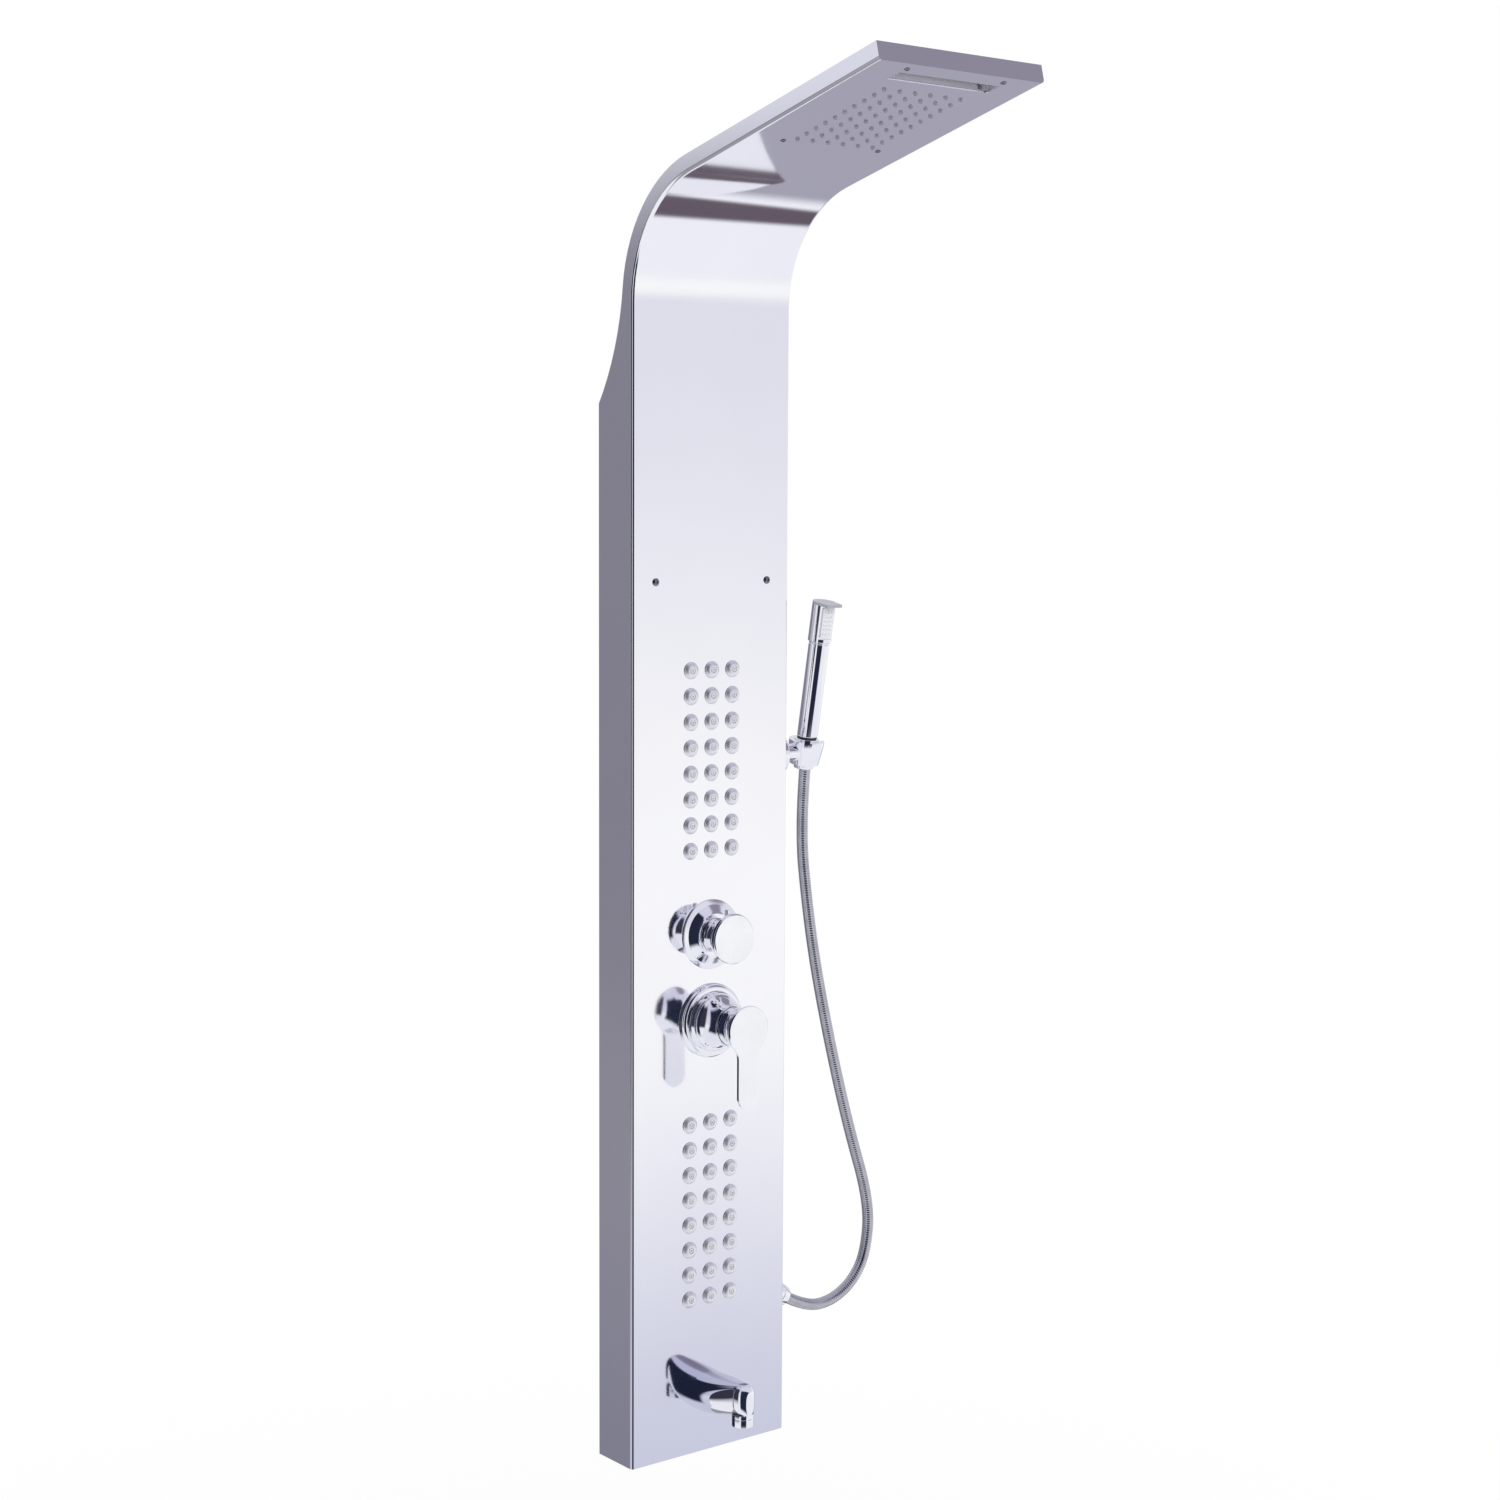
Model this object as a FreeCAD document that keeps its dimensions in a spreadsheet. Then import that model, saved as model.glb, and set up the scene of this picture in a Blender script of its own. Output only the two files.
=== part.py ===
"""Shower panel column: folded steel panel, overhead arm, body jets, diverter, mixer, spout and handset.

Millimetres. X runs across the panel, the wall is the plane Y = 0 with the panel in front of it
towards -Y, and Z = 0 is the panel's bottom edge. "Out" below is the distance from the wall.
"""

import FreeCAD, Part
import math
import os
import types

import Sketcher
from FreeCAD import Placement, Rotation, Vector

SIZES = {
    # folded front panel
    "panel_width": 200.0,
    "panel_depth": 58.0,
    "sheet_thickness": 1.2,
    "fold_radius": 3.5,
    "bend_height": 1189.0,
    "bend_radius": 120.0,
    "bend_angle": 75.8,
    "arm_length": 284.0,
    "arm_thickness": 17.5,
    "shoulder_below_bend": 99.0,
    "shoulder_angle": 6.0,
    "lip_width": 12.0,
    "foot_lip_height": 15.0,
    "cover_thickness": 1.0,
    "fit_gap": 0.3,
    "thread_gap": 0.05,
    "running_gap": 0.03,
    # wall brackets and the front fixing screws
    "bracket_thickness": 2.0,
    "bracket_height": 40.0,
    "bracket_level": 912.0,
    "bracket_leg": 60.0,
    "bracket_tab": 22.0,
    "wall_hole_radius": 3.25,
    "wall_hole_spacing": 90.0,
    "fixing_screw_spread": 71.1,
    "fixing_screw_radius": 2.0,
    "fixing_head_radius": 4.0,
    "fixing_head_height": 1.8,
    "hook_level": 36.0,
    "hook_height": 28.0,
    # rain head in the arm, measured back along the arm from its tip
    "rain_first_from_tip": 182.0,
    "rain_pitch_along": 14.0,
    "rain_pitch_across": 18.6,
    "rain_rows": 10,
    "rain_columns": 6,
    "nozzle_radius": 2.0,
    "nozzle_drop": 1.6,
    "nozzle_bore": 0.6,
    "mat_thickness": 1.5,
    "chamber_start_from_tip": 197.0,
    "chamber_end_from_tip": 3.0,
    "chamber_width": 134.0,
    "chamber_height": 11.2,
    "chamber_lid_thickness": 1.4,
    "chamber_margin": 9.0,
    "slot_near_from_tip": 35.0,
    "slot_far_from_tip": 19.0,
    "slot_width": 122.0,
    "ramp_rise": 6.5,
    "ramp_thickness": 0.8,
    "head_screw_spread": 58.5,
    "head_screw_near_from_tip": 188.7,
    "head_screw_far_from_tip": 10.6,
    "head_screw_radius": 1.5,
    "head_screw_head": 3.0,
    # body jets
    "jet_pitch_across": 26.5,
    "jet_pitch_up": 26.45,
    "jet_rows": 8,
    "jet_columns": 3,
    "upper_jets_bottom": 636.45,
    "lower_jets_bottom": 165.6,
    "jet_shank_radius": 6.0,
    "jet_bezel_radius": 8.8,
    "jet_bezel_height": 3.4,
    "jet_bore": 2.6,
    "jet_tip_height": 4.4,
    "jet_shank_length": 6.4,
    "seal_thickness": 1.5,
    "manifold_depth": 16.0,
    "manifold_wall": 4.0,
    "manifold_margin": 14.0,
    # supply tubes between the valves and the outlets
    "tube_radius": 7.0,
    "tube_bore": 6.0,
    "tube_out": 22.0,
    "tail_length": 16.0,
    "tube_spread": 13.0,
    "jet_tube_side": 33.0,
    "spout_tube_side": 72.0,
    "handset_tube_side": 74.0,
    "clip_height": 12.0,
    "tube_lean_start_below_bend": 180.0,
    "tube_lean_end_below_bend": 70.0,
    # diverter
    "diverter_level": 548.3,
    "diverter_body_radius": 22.0,
    "diverter_body_back": 12.0,
    "diverter_neck_radius": 15.0,
    "diverter_cartridge_radius": 12.0,
    "diverter_flange_radius": 36.3,
    "diverter_flange_height": 9.0,
    "knob_neck_radius": 17.2,
    "knob_radius": 26.0,
    "knob_face": 39.8,
    "knob_pin_radius": 2.3,
    "knob_pin_reach": 29.0,
    "knob_pin_out": 27.0,
    "spindle_radius": 5.0,
    # mixer
    "mixer_level": 458.0,
    "mixer_body_radius": 24.0,
    "mixer_body_back": 10.0,
    "mixer_neck_radius": 20.0,
    "mixer_cartridge_radius": 17.5,
    "mixer_cartridge_out": 80.0,
    "mixer_flange_radius": 38.8,
    "mixer_flange_height": 12.0,
    "bonnet_foot_radius": 29.0,
    "bonnet_rim_radius": 22.2,
    "hub_ball_radius": 20.5,
    "hub_ball_gap": 0.4,
    "pivot_out": 100.0,
    "lever_face": 64.5,
    "lever_disc_radius": 25.0,
    "lever_reach": 82.0,
    "lever_width": 26.0,
    "lever_corner_radius": 20.0,
    "lever_thickness": 3.0,
    "stem_radius": 4.0,
    "pivot_pin_radius": 2.0,
    "carrier_radius": 14.0,
    "inlet_spread": 45.0,
    "inlet_thread_radius": 10.48,
    "inlet_thread_length": 14.0,
    "inlet_out": 28.0,
    "inlet_end_out": 3.0,
    "stub_radius": 9.0,
    "transfer_radius": 6.0,
    # spout
    "spout_level": 65.5,
    "spout_half_width": 24.0,
    "spout_half_height": 21.5,
    "spout_reach": 57.0,
    "spout_nose_radius": 12.0,
    "spout_rise": 9.0,
    "spout_outlet_out": 53.0,
    "spout_outlet_drop": 23.0,
    "aerator_radius": 10.4,
    "aerator_drop": 27.5,
    "spout_shank_radius": 10.5,
    "spout_nut_radius": 17.0,
    "spout_nut_thickness": 6.0,
    # handset holder on the right flange
    "side_out": 30.0,
    "holder_level": 727.0,
    "holder_base_radius": 23.0,
    "holder_base_thickness": 10.0,
    "holder_neck_radius": 9.5,
    "holder_reach": 47.5,
    "holder_tilt": 10.5,
    "socket_top_radius": 19.0,
    "socket_bottom_radius": 15.5,
    "socket_height": 26.0,
    "socket_bore_top": 13.0,
    "socket_bore_bottom": 11.0,
    "socket_slot": 14.6,
    "holder_screw_radius": 2.5,
    # handset
    "nut_above": 2.0,
    "nut_below": 5.0,
    "washer_thickness": 2.0,
    "handle_radius": 11.0,
    "handle_bore": 7.4,
    "handle_length": 104.0,
    "handle_bore_depth": 80.0,
    "head_radius": 12.4,
    "head_length": 40.0,
    "head_flat": 8.5,
    "cap_thickness": 3.0,
    "cap_reach": 18.0,
    "spray_plate_width": 15.0,
    "spray_plate_thickness": 1.5,
    # hose and its outlet on the right flange
    "hose_radius": 6.25,
    "hose_inside_handle": 69.0,
    "outlet_level": 145.0,
    "outlet_angle": 30.0,
    "outlet_neck_radius": 10.0,
    "outlet_collar_radius": 14.0,
    "outlet_collar_thickness": 2.0,
    "outlet_centre": 4.0,
    "outlet_nut_start": 5.0,
    "outlet_nut_end": 23.0,
    "outlet_nut_radius": 12.0,
    "outlet_nut_tip": 9.5,
    "backnut_thickness": 5.0,
}

# Corners of the hose's route between its lower nut and the handset: X, Y, Z, chosen one by one.
HOSE_CORNERS = [
    (188.5, -30.0, 115.3),
    (220.0, -30.0, 131.2),
    (239.7, -30.0, 160.4),
    (245.0, -30.0, 217.0),
    (210.5, -30.0, 315.0),
    (178.5, -30.0, 430.0),
    (156.6, -28.0, 535.0),
]
HOSE_FIRST_CORNER = 57.2
HOSE_STRAIGHT_BELOW = 62.0
CORNER_SHARE = 0.45

# The spout's oval sections: share of its reach, of its narrowing to the nose, and of its rise.
SPOUT_SHAPE = [
    (0.0, 0.0, 0.0),
    (0.2, 0.16, 0.18),
    (0.4, 0.37, 0.42),
    (0.6, 0.6, 0.68),
    (0.8, 0.82, 0.88),
    (1.0, 1.0, 1.0),
]

PIECES = {}


class Size:
    """A length or angle: its number, and the formula that gives it from the sheet."""

    def __init__(self, number, formula=None):
        self.number = float(number)
        self.formula = formula or repr(float(number))

    def __float__(self):
        return self.number

    def joined(self, other, sign, number):
        return Size(number, f"({self.formula} {sign} {size(other).formula})")

    def __add__(self, other):
        return self.joined(other, "+", self.number + float(other))

    def __sub__(self, other):
        return self.joined(other, "-", self.number - float(other))

    def __mul__(self, other):
        return self.joined(other, "*", self.number * float(other))

    def __truediv__(self, other):
        return self.joined(other, "/", self.number / float(other))

    def __radd__(self, other):
        return size(other) + self

    def __rsub__(self, other):
        return size(other) - self

    def __rmul__(self, other):
        return size(other) * self

    def __neg__(self):
        return size(0) - self


def size(value):
    """A plain number as a Size."""
    return value if isinstance(value, Size) else Size(value)


def sine(angle):
    return Size(math.sin(math.radians(float(angle))), f"sin({angle.formula})")


def cosine(angle):
    return Size(math.cos(math.radians(float(angle))), f"cos({angle.formula})")


def tangent_angle(ratio):
    return Size(math.degrees(math.atan(float(ratio))), f"(atan({ratio.formula}) / 1 deg)")


def root(square):
    return Size(math.sqrt(float(square)), f"sqrt({square.formula})")


doc = FreeCAD.newDocument("shower_panel_column")
sheet = doc.addObject("Spreadsheet::Sheet", "Sizes")
for line, (alias, number) in enumerate(SIZES.items(), start=1):
    sheet.set(f"A{line}", alias)
    sheet.set(f"B{line}", str(number))
    sheet.setAlias(f"B{line}", alias)
doc.recompute()
S = types.SimpleNamespace(**{a: Size(n, f"Sizes.{a}") for a, n in SIZES.items()})

# Heights that hang below the bend, and places along the arm that are counted back from its tip.
S.shoulder_height = S.bend_height - S.shoulder_below_bend
for mark in (
    "rain_first",
    "chamber_start",
    "chamber_end",
    "slot_near",
    "slot_far",
    "head_screw_near",
    "head_screw_far",
):
    setattr(S, mark, S.arm_length - getattr(S, f"{mark}_from_tip"))

# Turns of a piece's own frame. Its own Z becomes the direction that the name gives.
UP = Rotation()
OUTWARD = Rotation(Vector(1, 0, 0), 90)
WALLWARD = Rotation(Vector(1, 0, 0), -90)
SIDEWAYS = Rotation(Vector(0, 1, 0), 90)
ALONG_ARM = Rotation(Vector(-1, 0, 0), 90 - float(S.bend_angle))
TILTED = Rotation(Vector(1, 0, 0), float(S.holder_tilt))
OUTLET_SLOPE = Rotation(Vector(0, 1, 0), 90 + float(S.outlet_angle))


def place(thing, at=(0, 0, 0), turn=UP):
    """Puts a piece at a point of Sizes, and keeps the point bound to the sheet."""
    thing.Placement = Placement(Vector(*(float(c) for c in at)), turn)
    for axis, value in zip("xyz", at):
        if isinstance(value, Size):
            thing.setExpression(f"Placement.Base.{axis}", value.formula)
    return thing


def piece(name, thing):
    """Names a finished piece, which is then written to its own file."""
    thing.Label = name
    PIECES[name] = thing
    return thing


def origin_part(body, role):
    return next(f for f in body.Origin.OriginFeatures if f.Role == role)


def fix(sketch, kind, at, value, label):
    """A dimension of a sketch, bound to its formula."""
    index = sketch.addConstraint(Sketcher.Constraint(kind, *at, float(value)))
    sketch.renameConstraint(index, label)
    sketch.setExpression(f"Constraints.{label}", size(value).formula)


def arc_between(start, end, radius, leftward):
    """The short arc from start to end. leftward: it turns left on its way."""
    chord = end - start
    half = chord.Length / 2
    side = Vector(-chord.y, chord.x, 0).normalize() * (1 if leftward else -1)
    centre = start + chord * 0.5 + side * math.sqrt(max(radius**2 - half**2, 0))
    angles = [math.atan2(p.y - centre.y, p.x - centre.x) for p in (start, end)]
    if not leftward:
        angles.reverse()
    return Part.ArcOfCircle(Part.Circle(centre, Vector(0, 0, 1), radius), *angles)


def draw_loop(sketch, corners, arcs=None):
    """A closed outline. arcs gives (radius, turns left) for the edges that start at that corner."""
    arcs = arcs or {}
    first = sketch.GeometryCount
    points = [Vector(float(x), float(y), 0) for x, y in corners]
    ends = []
    for i, start in enumerate(points):
        end = points[(i + 1) % len(points)]
        if i in arcs:
            radius, leftward = arcs[i]
            sketch.addGeometry(arc_between(start, end, float(radius), leftward))
            ends.append((1, 2) if leftward else (2, 1))
        else:
            sketch.addGeometry(Part.LineSegment(start, end))
            ends.append((1, 2))
    for i in range(len(points)):
        following = (i + 1) % len(points)
        sketch.addConstraint(
            Sketcher.Constraint(
                "Coincident", first + i, ends[i][1], first + following, ends[following][0]
            )
        )
    for i, (x, y) in enumerate(corners):
        fix(sketch, "DistanceX", (-1, 1, first + i, ends[i][0]), x, f"x{first + i}")
        fix(sketch, "DistanceY", (-1, 1, first + i, ends[i][0]), y, f"y{first + i}")
    for i, (radius, _) in arcs.items():
        fix(sketch, "Radius", (first + i,), radius, f"r{first + i}")


def draw_circle(sketch, x, y, radius):
    index = sketch.addGeometry(
        Part.Circle(Vector(float(x), float(y), 0), Vector(0, 0, 1), float(radius))
    )
    fix(sketch, "DistanceX", (-1, 1, index, 3), x, f"x{index}")
    fix(sketch, "DistanceY", (-1, 1, index, 3), y, f"y{index}")
    fix(sketch, "Radius", (index,), radius, f"r{index}")


def new_body(name):
    body = doc.addObject("PartDesign::Body", name)
    body.AllowCompound = True
    return body


def new_sketch(body, plane, lift=0):
    """A sketch on one of the body's own planes, lifted off it along its normal."""
    sketch = body.newObject("Sketcher::SketchObject", f"{body.Name}_outline")
    sketch.AttachmentSupport = [(origin_part(body, plane), "")]
    sketch.MapMode = "FlatFace"
    if isinstance(lift, Size):
        sketch.AttachmentOffset = Placement(Vector(0, 0, float(lift)), Rotation())
        sketch.setExpression("AttachmentOffset.Base.z", lift.formula)
    return sketch


def pad(body, sketch, length):
    feature = body.newObject("PartDesign::Pad", f"{body.Name}_pad")
    feature.Profile = sketch
    feature.Length = float(length)
    feature.setExpression("Length", size(length).formula)
    return feature


def turned(name, corners, arcs=None, at=(0, 0, 0), turn=UP):
    """A round piece: its half outline (radius, height) turned about its own Z."""
    body = new_body(name)
    sketch = new_sketch(body, "XZ_Plane")
    draw_loop(sketch, corners, arcs)
    feature = body.newObject("PartDesign::Revolution", f"{name}_turned")
    feature.Profile = sketch
    feature.ReferenceAxis = (sketch, ["V_Axis"])
    feature.Angle = 360
    return place(body, at, turn)


def sheet_piece(name, corners, length, arcs=None, at=(0, 0, 0), turn=UP, plane="XY_Plane", lift=0):
    """A piece of one outline and one thickness."""
    body = new_body(name)
    sketch = new_sketch(body, plane, lift)
    draw_loop(sketch, corners, arcs)
    pad(body, sketch, length)
    return place(body, at, turn)


def pegs(name, centres, radius, length, at=(0, 0, 0), turn=UP):
    """Round pegs of one size, one at each centre."""
    body = new_body(name)
    sketch = new_sketch(body, "XY_Plane")
    for x, y in centres:
        draw_circle(sketch, x, y, radius)
    pad(body, sketch, length)
    return place(body, at, turn)


def rod(name, radius, length, at=(0, 0, 0), turn=UP):
    thing = doc.addObject("Part::Cylinder", name)
    thing.setExpression("Radius", size(radius).formula)
    thing.setExpression("Height", size(length).formula)
    return place(thing, at, turn)


def block(name, width, depth, height, at=(0, 0, 0), turn=UP):
    """A box from its lowest corner."""
    thing = doc.addObject("Part::Box", name)
    thing.setExpression("Length", size(width).formula)
    thing.setExpression("Width", size(depth).formula)
    thing.setExpression("Height", size(height).formula)
    return place(thing, at, turn)


def ball(name, radius, at):
    thing = doc.addObject("Part::Sphere", name)
    thing.setExpression("Radius", size(radius).formula)
    return place(thing, at)


def cut(name, base, *tools):
    thing = doc.addObject("Part::Cut", name)
    thing.Base = base
    thing.Tool = tools[0] if len(tools) == 1 else fuse(f"{name}_tools", *tools)
    return thing


def fuse(name, *things):
    thing = doc.addObject("Part::MultiFuse", name)
    thing.Shapes = list(things)
    return thing


def ring(name, inner, outer, length, at=(0, 0, 0), turn=UP):
    corners = [(inner, 0), (outer, 0), (outer, length), (inner, length)]
    return turned(name, corners, at=at, turn=turn)


def hexagon(across):
    """Corners of a hexagon from its corner radius."""
    return [
        (across * math.cos(math.radians(60 * i)), across * math.sin(math.radians(60 * i)))
        for i in range(6)
    ]


def hex_nut(name, radius, bore, length, at, turn):
    body = new_body(name)
    sketch = new_sketch(body, "XY_Plane")
    draw_loop(sketch, hexagon(radius))
    draw_circle(sketch, 0, 0, bore)
    pad(body, sketch, length)
    return place(body, at, turn)


def rounded_route(points, radii):
    """Straight runs joined by tangent arcs, and the length of the whole line."""
    edges = []
    reached = points[0]
    for before, corner, after, radius in zip(points, points[1:], points[2:], radii):
        inward = (before - corner).normalize()
        onward = (after - corner).normalize()
        half_turn = (math.pi - inward.getAngle(onward)) / 2
        step = radius * math.tan(half_turn)
        start = corner + inward * step
        end = corner + onward * step
        middle_way = (inward + onward).normalize()
        middle = corner + middle_way * (radius / math.cos(half_turn) - radius)
        if (start - reached).Length > 1e-6:
            edges.append(Part.LineSegment(reached, start).toShape())
        edges.append(Part.Arc(start, middle, end).toShape())
        reached = end
    edges.append(Part.LineSegment(reached, points[-1]).toShape())
    return Part.Wire(edges)


def corner_radii(points, share):
    radii = []
    for before, corner, after in zip(points, points[1:], points[2:]):
        turn = math.pi - (before - corner).getAngle(after - corner)
        run = min((corner - before).Length, (after - corner).Length)
        radii.append(share * run / math.tan(turn / 2))
    return radii


def swept(wire, radius):
    start = wire.OrderedVertexes[0].Point
    first = wire.OrderedEdges[0]
    circle = Part.Wire(Part.Circle(start, first.tangentAt(first.FirstParameter), radius).toShape())
    return wire.makePipeShell([circle], True, False)


def tube(name, points, radii, outer, bore=None):
    """A tube along a route. A tube with no bore is a plain round bar."""
    wire = rounded_route(points, radii)
    shape = swept(wire, float(outer))
    area = math.pi * float(outer) ** 2
    if bore is not None:
        shape = shape.cut(swept(wire, float(bore)))
        area -= math.pi * float(bore) ** 2
    expected = area * wire.Length
    if abs(shape.Volume / expected - 1) > 0.01:
        raise ValueError(f"{name} doesn't fill its route: {shape.Volume:.0f} of {expected:.0f}")
    thing = doc.addObject("Part::Feature", name)
    thing.Shape = shape
    return piece(name, thing), wire.Length


# ---------------------------------------------------------------- levels and points used all over

face = S.panel_depth
skin_back = S.panel_depth - S.sheet_thickness
half_width = S.panel_width / 2
inner_half = half_width - S.sheet_thickness
bend_centre = (-(S.panel_depth + S.bend_radius), S.bend_height)
rise = sine(S.bend_angle)
lean = cosine(S.bend_angle)


def round_bend(radius, angle_cos, angle_sin):
    """A point at that radius from the centre of the bend."""
    return (bend_centre[0] + radius * angle_cos, bend_centre[1] + radius * angle_sin)


def on_arm(along, up):
    """A point of the arm's side view: along it from the end of the bend, and up from its underside."""
    y, z = round_bend(S.bend_radius + up, lean, rise)
    return (y - along * rise, z + along * lean)


def in_arm(along, up, across=0):
    y, z = on_arm(along, up)
    return (across, y, z)


def out_at(x, out, z):
    """A point by its distance out from the wall."""
    return (x, -size(out), z)


# ---------------------------------------------------------------- folded panel

shoulder_cos, shoulder_sin = cosine(S.shoulder_angle), sine(S.shoulder_angle)
outer_bend = S.bend_radius + S.arm_thickness
shoulder_start = round_bend(outer_bend, shoulder_cos, shoulder_sin)
shoulder_drop = shoulder_start[1] - S.shoulder_height
shoulder_chord = root(shoulder_start[0] * shoulder_start[0] + shoulder_drop * shoulder_drop)
shoulder_half_turn = tangent_angle(-shoulder_start[0] / shoulder_drop) - S.shoulder_angle
shoulder_radius = shoulder_chord / (2 * sine(shoulder_half_turn))
shoulder_end_angle = S.shoulder_angle + 2 * shoulder_half_turn


def soften_folds(body, half, front, radius):
    """Rounds the two long front folds, which run up the face, round the bend and along the arm."""
    padded = body.Tip
    names = []
    for i, edge in enumerate(padded.Shape.Edges, start=1):
        if any(abs(abs(v.X) - half) > 1e-4 for v in edge.Vertexes):
            continue
        if abs(edge.Vertexes[0].X - edge.Vertexes[-1].X) > 1e-4:
            continue
        middle = edge.valueAt((edge.FirstParameter + edge.LastParameter) / 2)
        if is_on_front(middle, front):
            names.append(f"Edge{i}")
    fillet = body.newObject("PartDesign::Fillet", f"{body.Name}_folds")
    fillet.Base = (padded, names)
    fillet.Radius = float(radius)
    fillet.setExpression("Radius", radius.formula)
    body.Tip = fillet


def is_on_front(point, front):
    """True on the visible front skin, lifted inwards by front."""
    centre_y, centre_z = (float(c) for c in bend_centre)
    radius = float(S.bend_radius) + front
    if point.z <= centre_z:
        return abs(point.y - (centre_y + radius)) < 1e-3
    from_centre = math.hypot(point.y - centre_y, point.z - centre_z)
    if abs(from_centre - radius) < 1e-3:
        return True
    height = (point.y - centre_y) * float(lean) + (point.z - centre_z) * float(rise)
    return abs(height - radius) < 1e-3


def side_outline():
    """The flange's shape: up the front, round the bend, out to the tip and back down to the wall."""
    arm_top_back = round_bend(outer_bend, lean, rise)
    corners = [
        (0, 0),
        (-face, 0),
        (-face, S.bend_height),
        on_arm(0, 0),
        on_arm(S.arm_length, 0),
        on_arm(S.arm_length, S.arm_thickness),
        arm_top_back,
        shoulder_start,
        (0, S.shoulder_height),
    ]
    arcs = {2: (S.bend_radius, True), 6: (outer_bend, False), 7: (shoulder_radius, True)}
    return corners, arcs


def hollow_outline():
    """The space inside the fold, open to the wall and through the top of the arm."""
    wall = S.sheet_thickness
    reach = S.panel_depth
    lip_top = S.shoulder_height - S.lip_width
    outer = S.bend_radius + wall + S.arm_thickness + reach
    corners = [
        (-wall, wall),
        (-skin_back, wall),
        (-skin_back, S.bend_height),
        on_arm(0, wall),
        on_arm(S.arm_length - wall, wall),
        on_arm(S.arm_length - wall, wall + S.arm_thickness + reach),
        round_bend(outer, lean, rise),
        (bend_centre[0] + outer, S.bend_height),
        (bend_centre[0] + outer, lip_top),
        (-wall, lip_top),
    ]
    arcs = {2: (S.bend_radius + wall, True), 6: (outer, False)}
    return corners, arcs


def grid(columns, rows, pitch_x, pitch_y, first_y=0):
    """Centres of a grid that is centred on X = 0."""
    across = [pitch_x * (i - (int(float(columns)) - 1) / 2) for i in range(int(float(columns)))]
    up = [first_y + pitch_y * j for j in range(int(float(rows)))]
    return [(x, y) for y in up for x in across]


def jet_grid(bottom):
    return grid(S.jet_columns, S.jet_rows, S.jet_pitch_across, S.jet_pitch_up, bottom)


def rain_grid():
    """Nozzle centres in the arm's own frame, whose Y points back along the arm."""
    centres = grid(S.rain_columns, S.rain_rows, S.rain_pitch_across, S.rain_pitch_along, S.rain_first)
    return [(x, -y) for x, y in centres]


def head_screw_centres():
    return [
        (x, -y)
        for x in (-S.head_screw_spread, S.head_screw_spread) for y in (
            S.head_screw_near, S.head_screw_far
        )
    ]


def front_panel():
    corners, arcs = side_outline()
    blank = sheet_piece("panel_blank", corners, S.panel_width, arcs, plane="YZ_Plane", lift=-half_width)
    corners, arcs = hollow_outline()
    hollow = sheet_piece(
        "panel_hollow", corners, 2 * inner_half, arcs, plane="YZ_Plane", lift=-inner_half
    )
    doc.recompute()
    soften_folds(blank, float(half_width), 0.0, S.fold_radius)
    soften_folds(hollow, float(inner_half), float(S.sheet_thickness), S.fold_radius - S.sheet_thickness)
    wall = S.sheet_thickness
    opening_half = inner_half - S.lip_width
    back = block(
        "panel_back_opening",
        2 * opening_half,
        4 * wall,
        S.shoulder_height - S.lip_width - S.foot_lip_height,
        at=(-opening_half, -2 * wall, S.foot_lip_height),
    )
    through = 4 * wall
    holes = [
        pegs(
            "upper_jet_holes",
            jet_grid(S.upper_jets_bottom),
            S.jet_shank_radius + 0.2,
            through,
            out_at(0, face - 2 * wall, 0),
            OUTWARD,
        ),
        pegs(
            "lower_jet_holes",
            jet_grid(S.lower_jets_bottom),
            S.jet_shank_radius + 0.2,
            through,
            out_at(0, face - 2 * wall, 0),
            OUTWARD,
        ),
        pegs(
            "fixing_holes",
            [(x, S.bracket_level) for x in (-S.fixing_screw_spread, S.fixing_screw_spread)],
            S.fixing_screw_radius + 0.3,
            through,
            out_at(0, face - 2 * wall, 0),
            OUTWARD,
        ),
        rod(
            "diverter_hole",
            S.diverter_neck_radius + S.fit_gap,
            through,
            out_at(0, face - 2 * wall, S.diverter_level),
            OUTWARD,
        ),
        rod(
            "mixer_hole",
            S.mixer_neck_radius + S.fit_gap,
            through,
            out_at(0, face - 2 * wall, S.mixer_level),
            OUTWARD,
        ),
        rod(
            "spout_hole",
            S.spout_shank_radius + S.fit_gap,
            through,
            out_at(0, face - 2 * wall, S.spout_level),
            OUTWARD,
        ),
        rod(
            "holder_hole",
            S.holder_screw_radius + 0.2,
            through,
            (half_width - 2 * wall, -S.side_out, S.holder_level),
            SIDEWAYS,
        ),
        rod(
            "outlet_hole",
            S.outlet_neck_radius + S.fit_gap,
            through,
            (half_width - 2 * wall, -S.side_out, S.outlet_level),
            SIDEWAYS,
        ),
        pegs(
            "rain_holes", rain_grid(), S.nozzle_radius + 0.15, through, in_arm(0, -2 * wall), ALONG_ARM
        ),
        pegs(
            "head_screw_holes",
            head_screw_centres(),
            S.head_screw_radius + 0.2,
            through,
            in_arm(0, -2 * wall),
            ALONG_ARM,
        ),
        block(
            "waterfall_window",
            S.slot_width,
            S.slot_far - S.slot_near,
            through,
            in_arm(S.slot_far, -2 * wall, -S.slot_width / 2),
            ALONG_ARM,
        ),
    ]
    return piece("front_panel", cut("front_panel", blank, hollow, back, *holes))


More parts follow.
